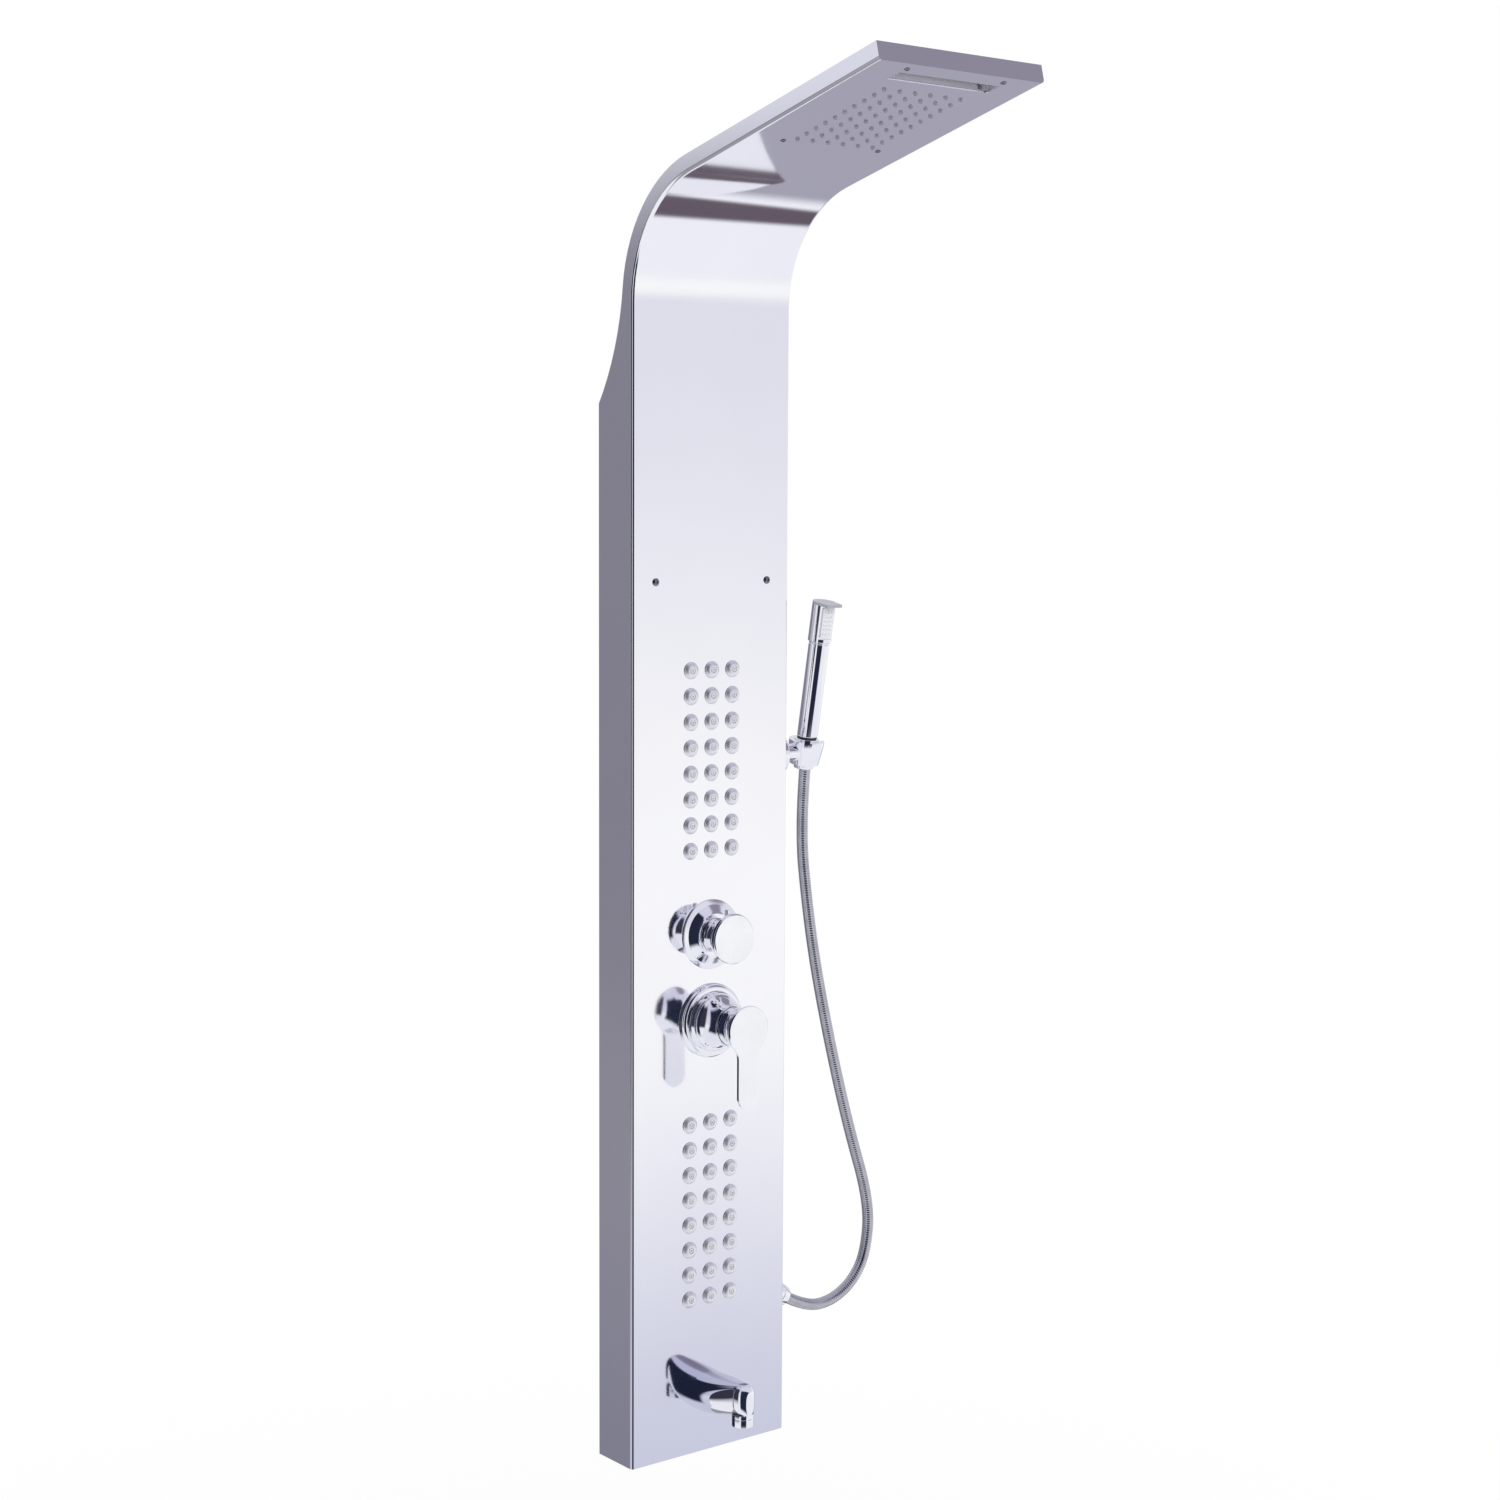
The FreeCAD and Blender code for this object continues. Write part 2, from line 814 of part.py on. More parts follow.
def top_cover():
    """Closes the arm and the bend between the flanges, flush with their edges, down to the wall."""
    thickness = S.cover_thickness
    end = S.arm_length - S.sheet_thickness - S.fit_gap
    end_cos, end_sin = cosine(shoulder_end_angle), sine(shoulder_end_angle)
    inner = outer_bend - thickness
    corners = [
        on_arm(end, S.arm_thickness),
        round_bend(outer_bend, lean, rise),
        shoulder_start,
        (0, S.shoulder_height),
        (-thickness * end_cos, S.shoulder_height - thickness * end_sin),
        round_bend(inner, shoulder_cos, shoulder_sin),
        round_bend(inner, lean, rise),
        on_arm(end, S.arm_thickness - thickness),
    ]
    arcs = {
        1: (outer_bend, False),
        2: (shoulder_radius, True),
        4: (shoulder_radius + thickness, False),
        5: (inner, True),
    }
    half = inner_half - S.fit_gap
    return piece(
        "top_cover", sheet_piece("top_cover", corners, 2 * half, arcs, plane="YZ_Plane", lift=-half)
    )


# ---------------------------------------------------------------- rain head in the arm

mat_up = S.sheet_thickness
chamber_up = mat_up + S.mat_thickness
lid_up = chamber_up + S.chamber_height
tail_up = (S.sheet_thickness + S.arm_thickness - S.cover_thickness) / 2
tail_radius = S.tube_bore - S.thread_gap


def arm_plate(name, up, height, near, far, width):
    return block(name, width, far - near, height, in_arm(far, up, -width / 2), ALONG_ARM)


def rain_nozzle_mat():
    plate = arm_plate(
        "mat_plate", mat_up, S.mat_thickness, S.chamber_start, S.chamber_end, S.chamber_width
    )
    tips = pegs(
        "nozzle_tips", rain_grid(), S.nozzle_radius, S.nozzle_drop + mat_up + S.mat_thickness / 2, in_arm(
            0, -S.nozzle_drop
        ), ALONG_ARM
    )
    bores = pegs(
        "nozzle_bores",
        rain_grid(),
        S.nozzle_bore,
        S.nozzle_drop + chamber_up + 2,
        in_arm(0, -S.nozzle_drop - 1),
        ALONG_ARM,
    )
    window = arm_plate(
        "mat_window", mat_up - 1, S.mat_thickness + 2, S.slot_near - 2, S.slot_far + 2, S.slot_width + 1
    )
    screws = pegs(
        "mat_screw_holes",
        head_screw_centres(),
        S.head_screw_radius + 0.1,
        S.mat_thickness + 2,
        in_arm(0, mat_up - 1),
        ALONG_ARM,
    )
    return piece(
        "rain_nozzle_mat",
        cut("rain_nozzle_mat", fuse("mat_with_tips", plate, tips), bores, window, screws),
    )


def rain_chamber():
    """Frame of the two water spaces, with a hose tail for each at its back end."""
    margin = S.chamber_margin
    plate = arm_plate(
        "chamber_block", chamber_up, S.chamber_height, S.chamber_start, S.chamber_end, S.chamber_width
    )
    rain_half = S.head_screw_spread - margin
    rain_far = S.slot_near - margin
    rain_space = arm_plate(
        "rain_space",
        chamber_up - 1,
        S.chamber_height + 2,
        S.chamber_start + 2 * margin / 3,
        rain_far,
        2 * rain_half,
    )
    fall_space = arm_plate(
        "waterfall_space",
        chamber_up - 1,
        S.chamber_height + 2,
        S.slot_near - 2,
        S.slot_far + 2,
        S.slot_width + 1,
    )
    channel_width = S.tube_bore
    channel = block(
        "waterfall_channel",
        channel_width,
        S.slot_near - S.chamber_start - margin,
        S.chamber_height - 2,
        in_arm(S.slot_near, chamber_up + 1, rain_half + 2),
        ALONG_ARM,
    )
    tails = [
        rod(
            f"chamber_tail_{i}",
            tail_radius,
            S.tail_length,
            in_arm(S.chamber_start, tail_up, x),
            ALONG_ARM.multiply(Rotation(Vector(1, 0, 0), -90)),
        )
        for i, x in enumerate((-S.tube_spread, S.tube_spread))
    ]
    screws = pegs(
        "chamber_screw_holes",
        head_screw_centres(),
        S.head_screw_radius + S.thread_gap,
        S.chamber_height - 2,
        in_arm(0, chamber_up),
        ALONG_ARM,
    )
    bore = rod(
        "rain_tail_bore",
        tail_radius - 1.5,
        S.tail_length + margin,
        in_arm(S.chamber_start + margin, tail_up, -S.tube_spread),
        ALONG_ARM.multiply(Rotation(Vector(1, 0, 0), -90)),
    )
    solid = cut("chamber_open", plate, rain_space, fall_space, channel)
    return piece(
        "rain_chamber", cut("rain_chamber", fuse("chamber_with_tails", solid, *tails), screws, bore)
    )


def chamber_lid():
    return piece(
        "chamber_lid",
        arm_plate(
            "chamber_lid",
            lid_up,
            S.chamber_lid_thickness,
            S.chamber_start,
            S.chamber_end,
            S.chamber_width,
        ),
    )


def waterfall_ramp():
    """Bent lip in the slot: level with the underside at the tip side, raised at the near side."""
    half = S.slot_width / 2 - S.fit_gap
    length = S.slot_far - S.slot_near - 4
    far = S.slot_far - S.fit_gap
    corners = [
        (-far, 0),
        (-far, S.ramp_thickness),
        (-far + length, S.ramp_rise + S.ramp_thickness),
        (-far + length, S.ramp_rise),
    ]
    at = in_arm(0, 0, 0)
    strip = sheet_piece(
        "ramp_strip", corners, 2 * half, at=at, turn=ALONG_ARM, plane="YZ_Plane", lift=-half
    )
    cheek = [(-far, 0), (-far + length, 0), (-far + length, S.ramp_rise)]
    left = sheet_piece(
        "ramp_left_cheek", cheek, S.ramp_thickness, at=at, turn=ALONG_ARM, plane="YZ_Plane", lift=-half
    )
    right = sheet_piece(
        "ramp_right_cheek",
        cheek,
        S.ramp_thickness,
        at=at,
        turn=ALONG_ARM,
        plane="YZ_Plane",
        lift=half - S.ramp_thickness,
    )
    return piece("waterfall_ramp", fuse("waterfall_ramp", strip, left, right))


def head_screws():
    heads = pegs(
        "head_screw_heads",
        head_screw_centres(),
        S.head_screw_head,
        S.sheet_thickness,
        in_arm(0, -S.sheet_thickness),
        ALONG_ARM,
    )
    shanks = pegs(
        "head_screw_shanks",
        head_screw_centres(),
        S.head_screw_radius,
        chamber_up + S.chamber_height - 3,
        in_arm(0, 0),
        ALONG_ARM,
    )
    return piece("head_screws", fuse("head_screws", heads, shanks))


# ---------------------------------------------------------------- wall brackets

def wall_bracket_upper():
    """Hat-shaped strip: its web lies on the wall, its two tabs carry the panel's front screws."""
    t = S.bracket_thickness
    leg = S.bracket_leg
    tab = leg + S.bracket_tab
    wide = inner_half - S.lip_width - 2
    right = [
        (leg, -t),
        (leg, -skin_back),
        (tab, -skin_back),
        (tab, t - skin_back),
        (leg + t, t - skin_back),
        (leg + t, -t),
        (wide, -t),
        (wide, 0),
    ]
    corners = right + [(-x, y) for x, y in reversed(right)]
    strip = sheet_piece(
        "bracket_strip", corners, S.bracket_height, at=(0, 0, S.bracket_level - S.bracket_height / 2)
    )
    holes = pegs(
        "bracket_wall_holes",
        [(x, S.bracket_level) for x in (-S.wall_hole_spacing / 2, S.wall_hole_spacing / 2)],
        S.wall_hole_radius,
        3 * t,
        out_at(0, -t, 0),
        OUTWARD,
    )
    threads = pegs(
        "bracket_screw_holes",
        [(x, S.bracket_level) for x in (-S.fixing_screw_spread, S.fixing_screw_spread)],
        S.fixing_screw_radius + S.thread_gap,
        3 * t,
        out_at(0, skin_back - 2 * t, 0),
        OUTWARD,
    )
    return piece("wall_bracket_upper", cut("wall_bracket_upper", strip, holes, threads))


def wall_bracket_lower():
    """Joggled strip screwed to the wall, behind whose lower edge the panel's foot lip hooks."""
    t = S.bracket_thickness
    gap = 0.2
    lip = S.sheet_thickness + gap
    top = S.hook_level + S.hook_height / 2
    lip_top = S.foot_lip_height
    corners = [
        (0, top),
        (-t, top),
        (-t, lip_top + 4),
        (-(t + lip), lip_top + 4 - lip),
        (-(t + lip), lip_top / 3),
        (-lip, lip_top / 3),
        (-lip, lip_top + 1),
        (0, lip_top + 1 + lip),
    ]
    wide = inner_half - S.lip_width - 2
    strip = sheet_piece("hook_strip", corners, 2 * wide, plane="YZ_Plane", lift=-wide)
    holes = pegs(
        "hook_wall_holes",
        [(x, S.hook_level) for x in (-S.wall_hole_spacing / 2, S.wall_hole_spacing / 2)],
        S.wall_hole_radius,
        3 * t,
        out_at(0, -t, 0),
        OUTWARD,
    )
    return piece("wall_bracket_lower", cut("wall_bracket_lower", strip, holes))


def fixing_screws():
    centres = [(x, S.bracket_level) for x in (-S.fixing_screw_spread, S.fixing_screw_spread)]
    length = S.sheet_thickness + 2 * S.bracket_thickness
    shanks = pegs(
        "fixing_shanks", centres, S.fixing_screw_radius, length, out_at(0, face - length, 0), OUTWARD
    )
    heads = pegs(
        "fixing_heads", centres, S.fixing_head_radius, S.fixing_head_height, out_at(0, face, 0), OUTWARD
    )
    return piece("fixing_screws", fuse("fixing_screws", heads, shanks))


# ---------------------------------------------------------------- body jets

seal_back = skin_back - S.seal_thickness
manifold_back = seal_back - S.manifold_depth
manifold_middle = manifold_back + S.manifold_depth / 2


def pattern_grid(body, feature):
    """Repeats a jet's piece over the columns and rows of its group."""
    columns = body.newObject("PartDesign::LinearPattern", f"{body.Name}_columns")
    columns.Direction = (origin_part(body, "X_Axis"), [""])
    columns.Length = float(S.jet_pitch_across * (S.jet_columns - 1))
    columns.setExpression("Length", (S.jet_pitch_across * (S.jet_columns - 1)).formula)
    columns.Occurrences = int(float(S.jet_columns))
    rows = body.newObject("PartDesign::LinearPattern", f"{body.Name}_rows")
    rows.Direction = (origin_part(body, "Y_Axis"), [""])
    rows.Length = float(S.jet_pitch_up * (S.jet_rows - 1))
    rows.setExpression("Length", (S.jet_pitch_up * (S.jet_rows - 1)).formula)
    rows.Occurrences = int(float(S.jet_rows))
    both = body.newObject("PartDesign::MultiTransform", f"{body.Name}_grid")
    both.Originals = [feature]
    both.Transformations = [columns, rows]
    body.Tip = both


def jet_pieces(group, bottom, tail_is_up):
    """One group of jets: domed bezels through the panel, soft tips, a seal and a hollow manifold."""
    left = -S.jet_pitch_across * (S.jet_columns - 1) / 2
    at = out_at(left, face, bottom)
    top = S.jet_bezel_height
    bezel = turned(
        f"{group}_jet_bezels",
        [
            (S.jet_bore, -S.jet_shank_length),
            (S.jet_shank_radius, -S.jet_shank_length),
            (S.jet_shank_radius, 0),
            (S.jet_bezel_radius, 0),
            (S.jet_bezel_radius, 0.6),
            (S.jet_bore + 1.2, top),
            (S.jet_bore, top),
        ],
        {4: (S.jet_bezel_radius + 1, True)},
        at,
        OUTWARD,
    )
    pattern_grid(bezel, bezel.Tip)
    piece(f"{group}_jet_bezels", bezel)
    soft = S.jet_bore - S.thread_gap
    tip = turned(
        f"{group}_jet_tips",
        [
            (0.8, -S.jet_shank_length),
            (soft, -S.jet_shank_length),
            (soft, S.jet_tip_height - 0.8),
            (soft - 0.8, S.jet_tip_height),
            (0.8, S.jet_tip_height),
        ],
        at=at,
        turn=OUTWARD,
    )
    pattern_grid(tip, tip.Tip)
    piece(f"{group}_jet_tips", tip)

    centres = jet_grid(bottom)
    half = S.jet_pitch_across * (S.jet_columns - 1) / 2 + S.manifold_margin
    tall = S.jet_pitch_up * (S.jet_rows - 1) + 2 * S.manifold_margin
    low = bottom - S.manifold_margin
    flat = [(-half, low), (half, low), (half, low + tall), (-half, low + tall)]
    seal = sheet_piece(
        f"{group}_seal_sheet", flat, S.seal_thickness, at=out_at(0, seal_back, 0), turn=OUTWARD
    )
    holes = pegs(
        f"{group}_seal_holes",
        centres,
        S.jet_shank_radius + 0.1,
        S.seal_thickness + 2,
        out_at(0, seal_back - 1, 0),
        OUTWARD,
    )
    piece(f"{group}_jet_seal", cut(f"{group}_jet_seal", seal, holes))

    wall = S.manifold_wall
    shell = sheet_piece(
        f"{group}_manifold_block", flat, S.manifold_depth, at=out_at(0, manifold_back, 0), turn=OUTWARD
    )
    thin = wall / 2
    inside = block(
        f"{group}_manifold_space",
        2 * (half - thin),
        tall - 2 * thin,
        S.manifold_depth - wall - thin,
        out_at(thin - half, manifold_back + thin, low + thin),
        OUTWARD,
    )
    sockets = pegs(
        f"{group}_manifold_sockets",
        centres,
        S.jet_shank_radius + S.thread_gap,
        wall + 2,
        out_at(0, seal_back - wall - 1, 0),
        OUTWARD,
    )
    level = low + tall - thin if tail_is_up else low + thin
    turn = UP if tail_is_up else Rotation(Vector(1, 0, 0), 180)
    tail = rod(
        f"{group}_manifold_tail",
        tail_radius,
        S.tail_length + thin,
        out_at(-S.jet_tube_side, manifold_middle, level),
        turn,
    )
    bore = rod(
        f"{group}_manifold_tail_bore",
        tail_radius - 1.5,
        S.tail_length + 2 * thin,
        out_at(-S.jet_tube_side, manifold_middle, level - thin if tail_is_up else level + thin),
        turn,
    )
    hollow = cut(f"{group}_manifold_shell", shell, inside, sockets)
    piece(
        f"{group}_jet_manifold",
        cut(f"{group}_jet_manifold", fuse(f"{group}_manifold_with_tail", hollow, tail), bore),
    )
    return low, low + tall


# ---------------------------------------------------------------- diverter

RIGHTWARD = Rotation(Vector(0, 1, 0), 90)
LEFTWARD = Rotation(Vector(0, 1, 0), -90)
DOWNWARD = Rotation(Vector(1, 0, 0), 180)
diverter_neck_out = face + S.diverter_flange_height - 3
stub_gap = 0.4
stub_meet = (S.diverter_level + S.mixer_level) / 2


def diverter():
    level = S.diverter_level
    back = S.diverter_body_back
    barrel = rod(
        "diverter_barrel", S.diverter_body_radius, skin_back - back, out_at(0, back, level), OUTWARD
    )
    neck = rod(
        "diverter_neck",
        S.diverter_neck_radius,
        diverter_neck_out - skin_back,
        out_at(0, skin_back, level),
        OUTWARD,
    )
    reach = S.diverter_body_radius + S.tail_length
    ups = [
        rod(f"diverter_up_tail_{i}", tail_radius, reach, out_at(x, S.tube_out, level), UP)
        for i, x in enumerate((-S.tube_spread, S.tube_spread))
    ]
    side = rod("diverter_right_tail", tail_radius, reach, out_at(0, S.side_out, level), RIGHTWARD)
    low = rod("diverter_spout_tail", tail_radius, reach, out_at(0, S.tube_out, level - 11), LEFTWARD)
    arm = rod(
        "diverter_jet_arm",
        tail_radius + 1,
        S.jet_tube_side,
        out_at(0, manifold_middle, level),
        LEFTWARD,
    )
    tee = rod(
        "diverter_jet_tee",
        tail_radius,
        2 * S.tail_length + 2 * tail_radius,
        out_at(-S.jet_tube_side, manifold_middle, level - S.tail_length - tail_radius),
        UP,
    )
    stub = rod(
        "diverter_inlet_stub",
        S.stub_radius,
        level - stub_meet - stub_gap / 2,
        out_at(0, S.side_out, stub_meet + stub_gap / 2),
        UP,
    )
    pipe = rod(
        "diverter_pipe_bore",
        S.transfer_radius + S.running_gap,
        level - stub_meet - S.diverter_body_radius + 4,
        out_at(0, S.side_out, stub_meet),
        UP,
    )
    seat_back = back + 10
    bore = rod(
        "diverter_seat",
        S.diverter_cartridge_radius + S.thread_gap,
        diverter_neck_out,
        out_at(0, seat_back, level),
        OUTWARD,
    )
    solid = fuse("diverter_casting", barrel, neck, *ups, side, low, arm, tee, stub)
    piece("diverter_body", cut("diverter_body", solid, pipe, bore))

    spindle_back = face - 20
    cartridge = turned(
        "diverter_cartridge",
        [
            (0, seat_back),
            (S.diverter_cartridge_radius, seat_back),
            (S.diverter_cartridge_radius, diverter_neck_out),
            (S.spindle_radius + S.running_gap, diverter_neck_out),
            (S.spindle_radius + S.running_gap, spindle_back),
            (0, spindle_back),
        ],
        at=out_at(0, 0, level),
        turn=OUTWARD,
    )
    piece("diverter_cartridge", cartridge)
    locknut = ring(
        "diverter_locknut", S.spindle_radius + 1.5, S.diverter_neck_radius + 2, 2.5, out_at(
            0, diverter_neck_out, level
        ), OUTWARD
    )
    piece("diverter_locknut", locknut)

    radius = S.diverter_flange_radius
    height = S.diverter_flange_height
    bore_radius = S.diverter_neck_radius + 2 + S.fit_gap
    flange = turned(
        "diverter_flange",
        [
            (bore_radius, 0),
            (radius, 0),
            (radius, 1.6),
            (bore_radius + 8, height - 1),
            (bore_radius + 6, height),
            (bore_radius, height),
        ],
        {2: (radius, True)},
        out_at(0, face, level),
        OUTWARD,
    )
    piece("diverter_flange", flange)

    foot = height + S.fit_gap
    neck_radius = S.knob_neck_radius
    rim = S.knob_radius
    top = S.knob_face
    spindle_top = top - 9
    spindle_hole = S.spindle_radius + S.thread_gap
    knob = turned(
        "diverter_knob",
        [
            (spindle_hole, foot),
            (neck_radius + 1, foot),
            (neck_radius, foot + 8),
            (rim, top - 4),
            (rim, top - 1.2),
            (rim - 1.2, top),
            (0, top),
            (0, spindle_top),
            (spindle_hole, spindle_top),
        ],
        {2: (2.6 * (rim - neck_radius), False)},
        out_at(0, face, level),
        OUTWARD,
    )
    pin_hole = rod(
        "knob_pin_hole",
        S.knob_pin_radius + S.thread_gap,
        S.knob_pin_reach,
        out_at(0, face + S.knob_pin_out, level + neck_radius - 5),
        UP,
    )
    piece("diverter_knob", cut("diverter_knob", knob, pin_hole))
    pin = rod(
        "diverter_knob_pin", S.knob_pin_radius, S.knob_pin_reach - neck_radius + 5, out_at(
            0, face + S.knob_pin_out, level + neck_radius - 5
        ), UP
    )
    piece("diverter_knob_pin", pin)
    spindle = rod(
        "diverter_spindle",
        S.spindle_radius,
        face + spindle_top - spindle_back,
        out_at(0, spindle_back, level),
        OUTWARD,
    )
    piece("diverter_spindle", spindle)


# ---------------------------------------------------------------- mixer

def mixer():
    level = S.mixer_level
    back = S.mixer_body_back
    neck_out = face + 6
    barrel = rod("mixer_barrel", S.mixer_body_radius, skin_back - back, out_at(0, back, level), OUTWARD)
    neck = rod(
        "mixer_neck", S.mixer_neck_radius, neck_out - skin_back, out_at(0, skin_back, level), OUTWARD
    )
    spread = S.inlet_spread
    arm_end = spread + S.inlet_thread_radius
    arms = rod(
        "mixer_inlet_arms",
        S.inlet_thread_radius - 0.4,
        2 * arm_end,
        out_at(-arm_end, S.inlet_out, level),
        RIGHTWARD,
    )
    thread_out = S.inlet_end_out + S.inlet_thread_length
    legs = [
        rod(
            f"mixer_leg_{i}",
            S.inlet_thread_radius - 1,
            S.inlet_out - thread_out,
            out_at(x, S.inlet_out, level),
            WALLWARD,
        )
        for i, x in enumerate((-spread, spread))
    ]
    threads = [
        rod(
            f"mixer_thread_{i}",
            S.inlet_thread_radius,
            S.inlet_thread_length,
            out_at(x, thread_out, level),
            WALLWARD,
        )
        for i, x in enumerate((-spread, spread))
    ]
    stub = rod(
        "mixer_outlet_stub",
        S.stub_radius,
        stub_meet - stub_gap / 2 - level,
        out_at(0, S.side_out, level),
        UP,
    )
    solid = fuse("mixer_casting", barrel, neck, arms, *legs, *threads, stub)
    seat_back = back + 12
    seat = rod(
        "mixer_seat",
        S.mixer_cartridge_radius + S.thread_gap,
        neck_out,
        out_at(0, seat_back, level),
        OUTWARD,
    )
    pipe_low = level + S.mixer_body_radius - 4
    pipe = rod(
        "mixer_pipe_bore",
        S.transfer_radius + S.running_gap,
        stub_meet - pipe_low,
        out_at(0, S.side_out, pipe_low),
        UP,
    )
    water = [
        rod(
            f"mixer_water_way_{i}",
            S.transfer_radius,
            S.inlet_out - S.inlet_end_out + 1,
            out_at(x, S.inlet_out, level),
            WALLWARD,
        )
        for i, x in enumerate((-spread, spread))
    ]
    piece("mixer_body", cut("mixer_body", solid, seat, pipe, *water))

    pipe_length = S.diverter_level - S.diverter_body_radius - pipe_low - 0.5
    piece(
        "transfer_pipe",
        ring(
            "transfer_pipe",
            S.transfer_radius - 1,
            S.transfer_radius,
            pipe_length,
            out_at(0, S.side_out, pipe_low),
            UP,
        ),
    )

    cartridge_out = S.mixer_cartridge_out
    piece(
        "mixer_cartridge",
        rod(
            "mixer_cartridge",
            S.mixer_cartridge_radius,
            cartridge_out - seat_back,
            out_at(0, seat_back, level),
            OUTWARD,
        ),
    )
    nut_outer = S.mixer_neck_radius + 2
    flange_height = S.mixer_flange_height
    nut_length = face + flange_height - neck_out
    piece(
        "mixer_locknut",
        ring(
            "mixer_locknut",
            S.mixer_cartridge_radius + 0.1,
            nut_outer,
            nut_length,
            out_at(0, neck_out, level),
            OUTWARD,
        ),
    )

    radius = S.mixer_flange_radius
    bore_radius = nut_outer + S.fit_gap
    foot_radius = S.bonnet_foot_radius
    flange = turned(
        "mixer_flange",
        [
            (bore_radius, 0),
            (radius, 0),
            (radius, 2),
            (foot_radius + 5, 6),
            (foot_radius + 2.5, 6),
            (foot_radius + 2.5, 8.5),
            (foot_radius + 1, flange_height),
            (bore_radius, flange_height),
        ],
        {2: (radius, True)},
        out_at(0, face, level),
        OUTWARD,
    )
    piece("mixer_flange", flange)

    pivot = S.pivot_out - face
    seat_radius = S.hub_ball_radius + S.hub_ball_gap
    rim_up = pivot - 4
    seat_rim = root(seat_radius * seat_radius - 16)
    inside = S.hub_ball_radius - 1.5
    seat_foot = pivot - root(seat_radius * seat_radius - inside * inside)
    rim = S.bonnet_rim_radius
    bonnet = turned(
        "mixer_bonnet",
        [
            (inside, flange_height),
            (foot_radius, flange_height),
            (foot_radius, flange_height + 2.5),
            (foot_radius - 2.5, flange_height + 3.5),
            (rim, rim_up - 1),
            (rim - 0.5, rim_up),
            (seat_rim, rim_up),
            (inside, seat_foot),
        ],
        {3: (40.0, False), 6: (seat_radius, False)},
        out_at(0, face, level),
        OUTWARD,
    )
    piece("mixer_bonnet", bonnet)
    carrier_and_lever(level, pivot)


def carrier_and_lever(level, pivot):
    """The cartridge's rotor with the lever's cross pin, and the lever that rocks on it."""
    top = S.mixer_cartridge_out - face
    disc = rod("carrier_disc", S.carrier_radius, 3, out_at(0, face + top + 0.2, level), OUTWARD)
    ear_inner = S.stem_radius + 1
    slot_half = S.carrier_radius - 2.8
    slot = block(
        "carrier_slot", 2 * ear_inner, 2 * slot_half, 5, out_at(
            -ear_inner, face + top - 0.8, level - slot_half
        ), OUTWARD
    )
    base = cut("carrier_ring", disc, slot)
    ear_outer = ear_inner + 5
    ears = [
        block(
            f"carrier_ear_{i}",
            ear_outer - ear_inner,
            8,
            pivot + 4 - top - 0.2,
            out_at(x, face + top + 0.2, level - 4),
            OUTWARD,
        )
        for i, x in enumerate((ear_inner, -ear_outer))
    ]
    pin_hole = rod(
        "carrier_pin_hole",
        S.pivot_pin_radius + 0.02,
        3 * ear_outer,
        out_at(-1.5 * ear_outer, S.pivot_out, level),
        RIGHTWARD,
    )
    piece("lever_carrier", cut("lever_carrier", fuse("carrier_solid", base, *ears), pin_hole))
    piece(
        "lever_pin",
        rod(
            "lever_pin",
            S.pivot_pin_radius,
            2 * ear_outer,
            out_at(-ear_outer, S.pivot_out, level),
            RIGHTWARD,
        ),
    )

    ball_radius = S.hub_ball_radius
    skirt = 11
    inner = ball_radius - 2.5
    skirt_outer = root(ball_radius * ball_radius - skirt * skirt)
    skirt_inner = root(inner * inner - skirt * skirt)
    neck = root(ball_radius * ball_radius - 9)
    disc = S.lever_disc_radius
    front = S.lever_face - pivot
    web = 8
    web_radius = root(inner * inner - web * web)
    hub = turned(
        "lever_hub",
        [
            (skirt_inner, -skirt),
            (skirt_outer, -skirt),
            (neck, 3),
            (disc, front - 2.2),
            (disc, front - 0.8),
            (disc - 0.8, front),
            (0, front),
            (0, web),
            (web_radius, web),
        ],
        {1: (ball_radius, True), 2: (42.0, False), 8: (inner, False)},
        out_at(0, S.pivot_out, level),
        OUTWARD,
    )
    stem_back = S.mixer_cartridge_out - S.pivot_out + 0.9
    stem = rod(
        "lever_stem",
        S.stem_radius,
        web + 1 - stem_back,
        out_at(0, S.pivot_out + stem_back, level),
        OUTWARD,
    )
    half = S.lever_width / 2
    straight = S.lever_reach - half
    corner = S.lever_corner_radius
    inside = disc - 0.2
    drop = root((inside + corner) * (inside + corner) - (half + corner) * (half + corner))
    share = inside / (inside + corner)
    side, down = (half + corner) * share, drop * share
    paddle = sheet_piece(
        "lever_paddle",
        [
            (half, 0),
            (-half, 0),
            (-side, -down),
            (-half, -drop),
            (-half, -straight),
            (half, -straight),
            (half, -drop),
            (side, -down),
        ],
        S.lever_thickness,
        {2: (corner, False), 4: (half + 0.001, True), 6: (corner, False)},
        out_at(0, face + S.lever_face - S.lever_thickness, level),
        OUTWARD,
    )
    pin_hole = rod(
        "stem_pin_hole",
        S.pivot_pin_radius + S.running_gap,
        3 * S.stem_radius,
        out_at(-1.5 * S.stem_radius, S.pivot_out, level),
        RIGHTWARD,
    )
    piece("mixer_lever", cut("mixer_lever", fuse("lever_solid", hub, stem, paddle), pin_hole))


# ---------------------------------------------------------------- spout

def oval(name, half_wide, half_high, out, level):
    """An oval section across the spout."""
    section = doc.addObject("Part::Ellipse", name)
    section.setExpression("MajorRadius", half_wide.formula)
    section.setExpression("MinorRadius", half_high.formula)
    return place(section, out_at(0, out, level), OUTWARD)


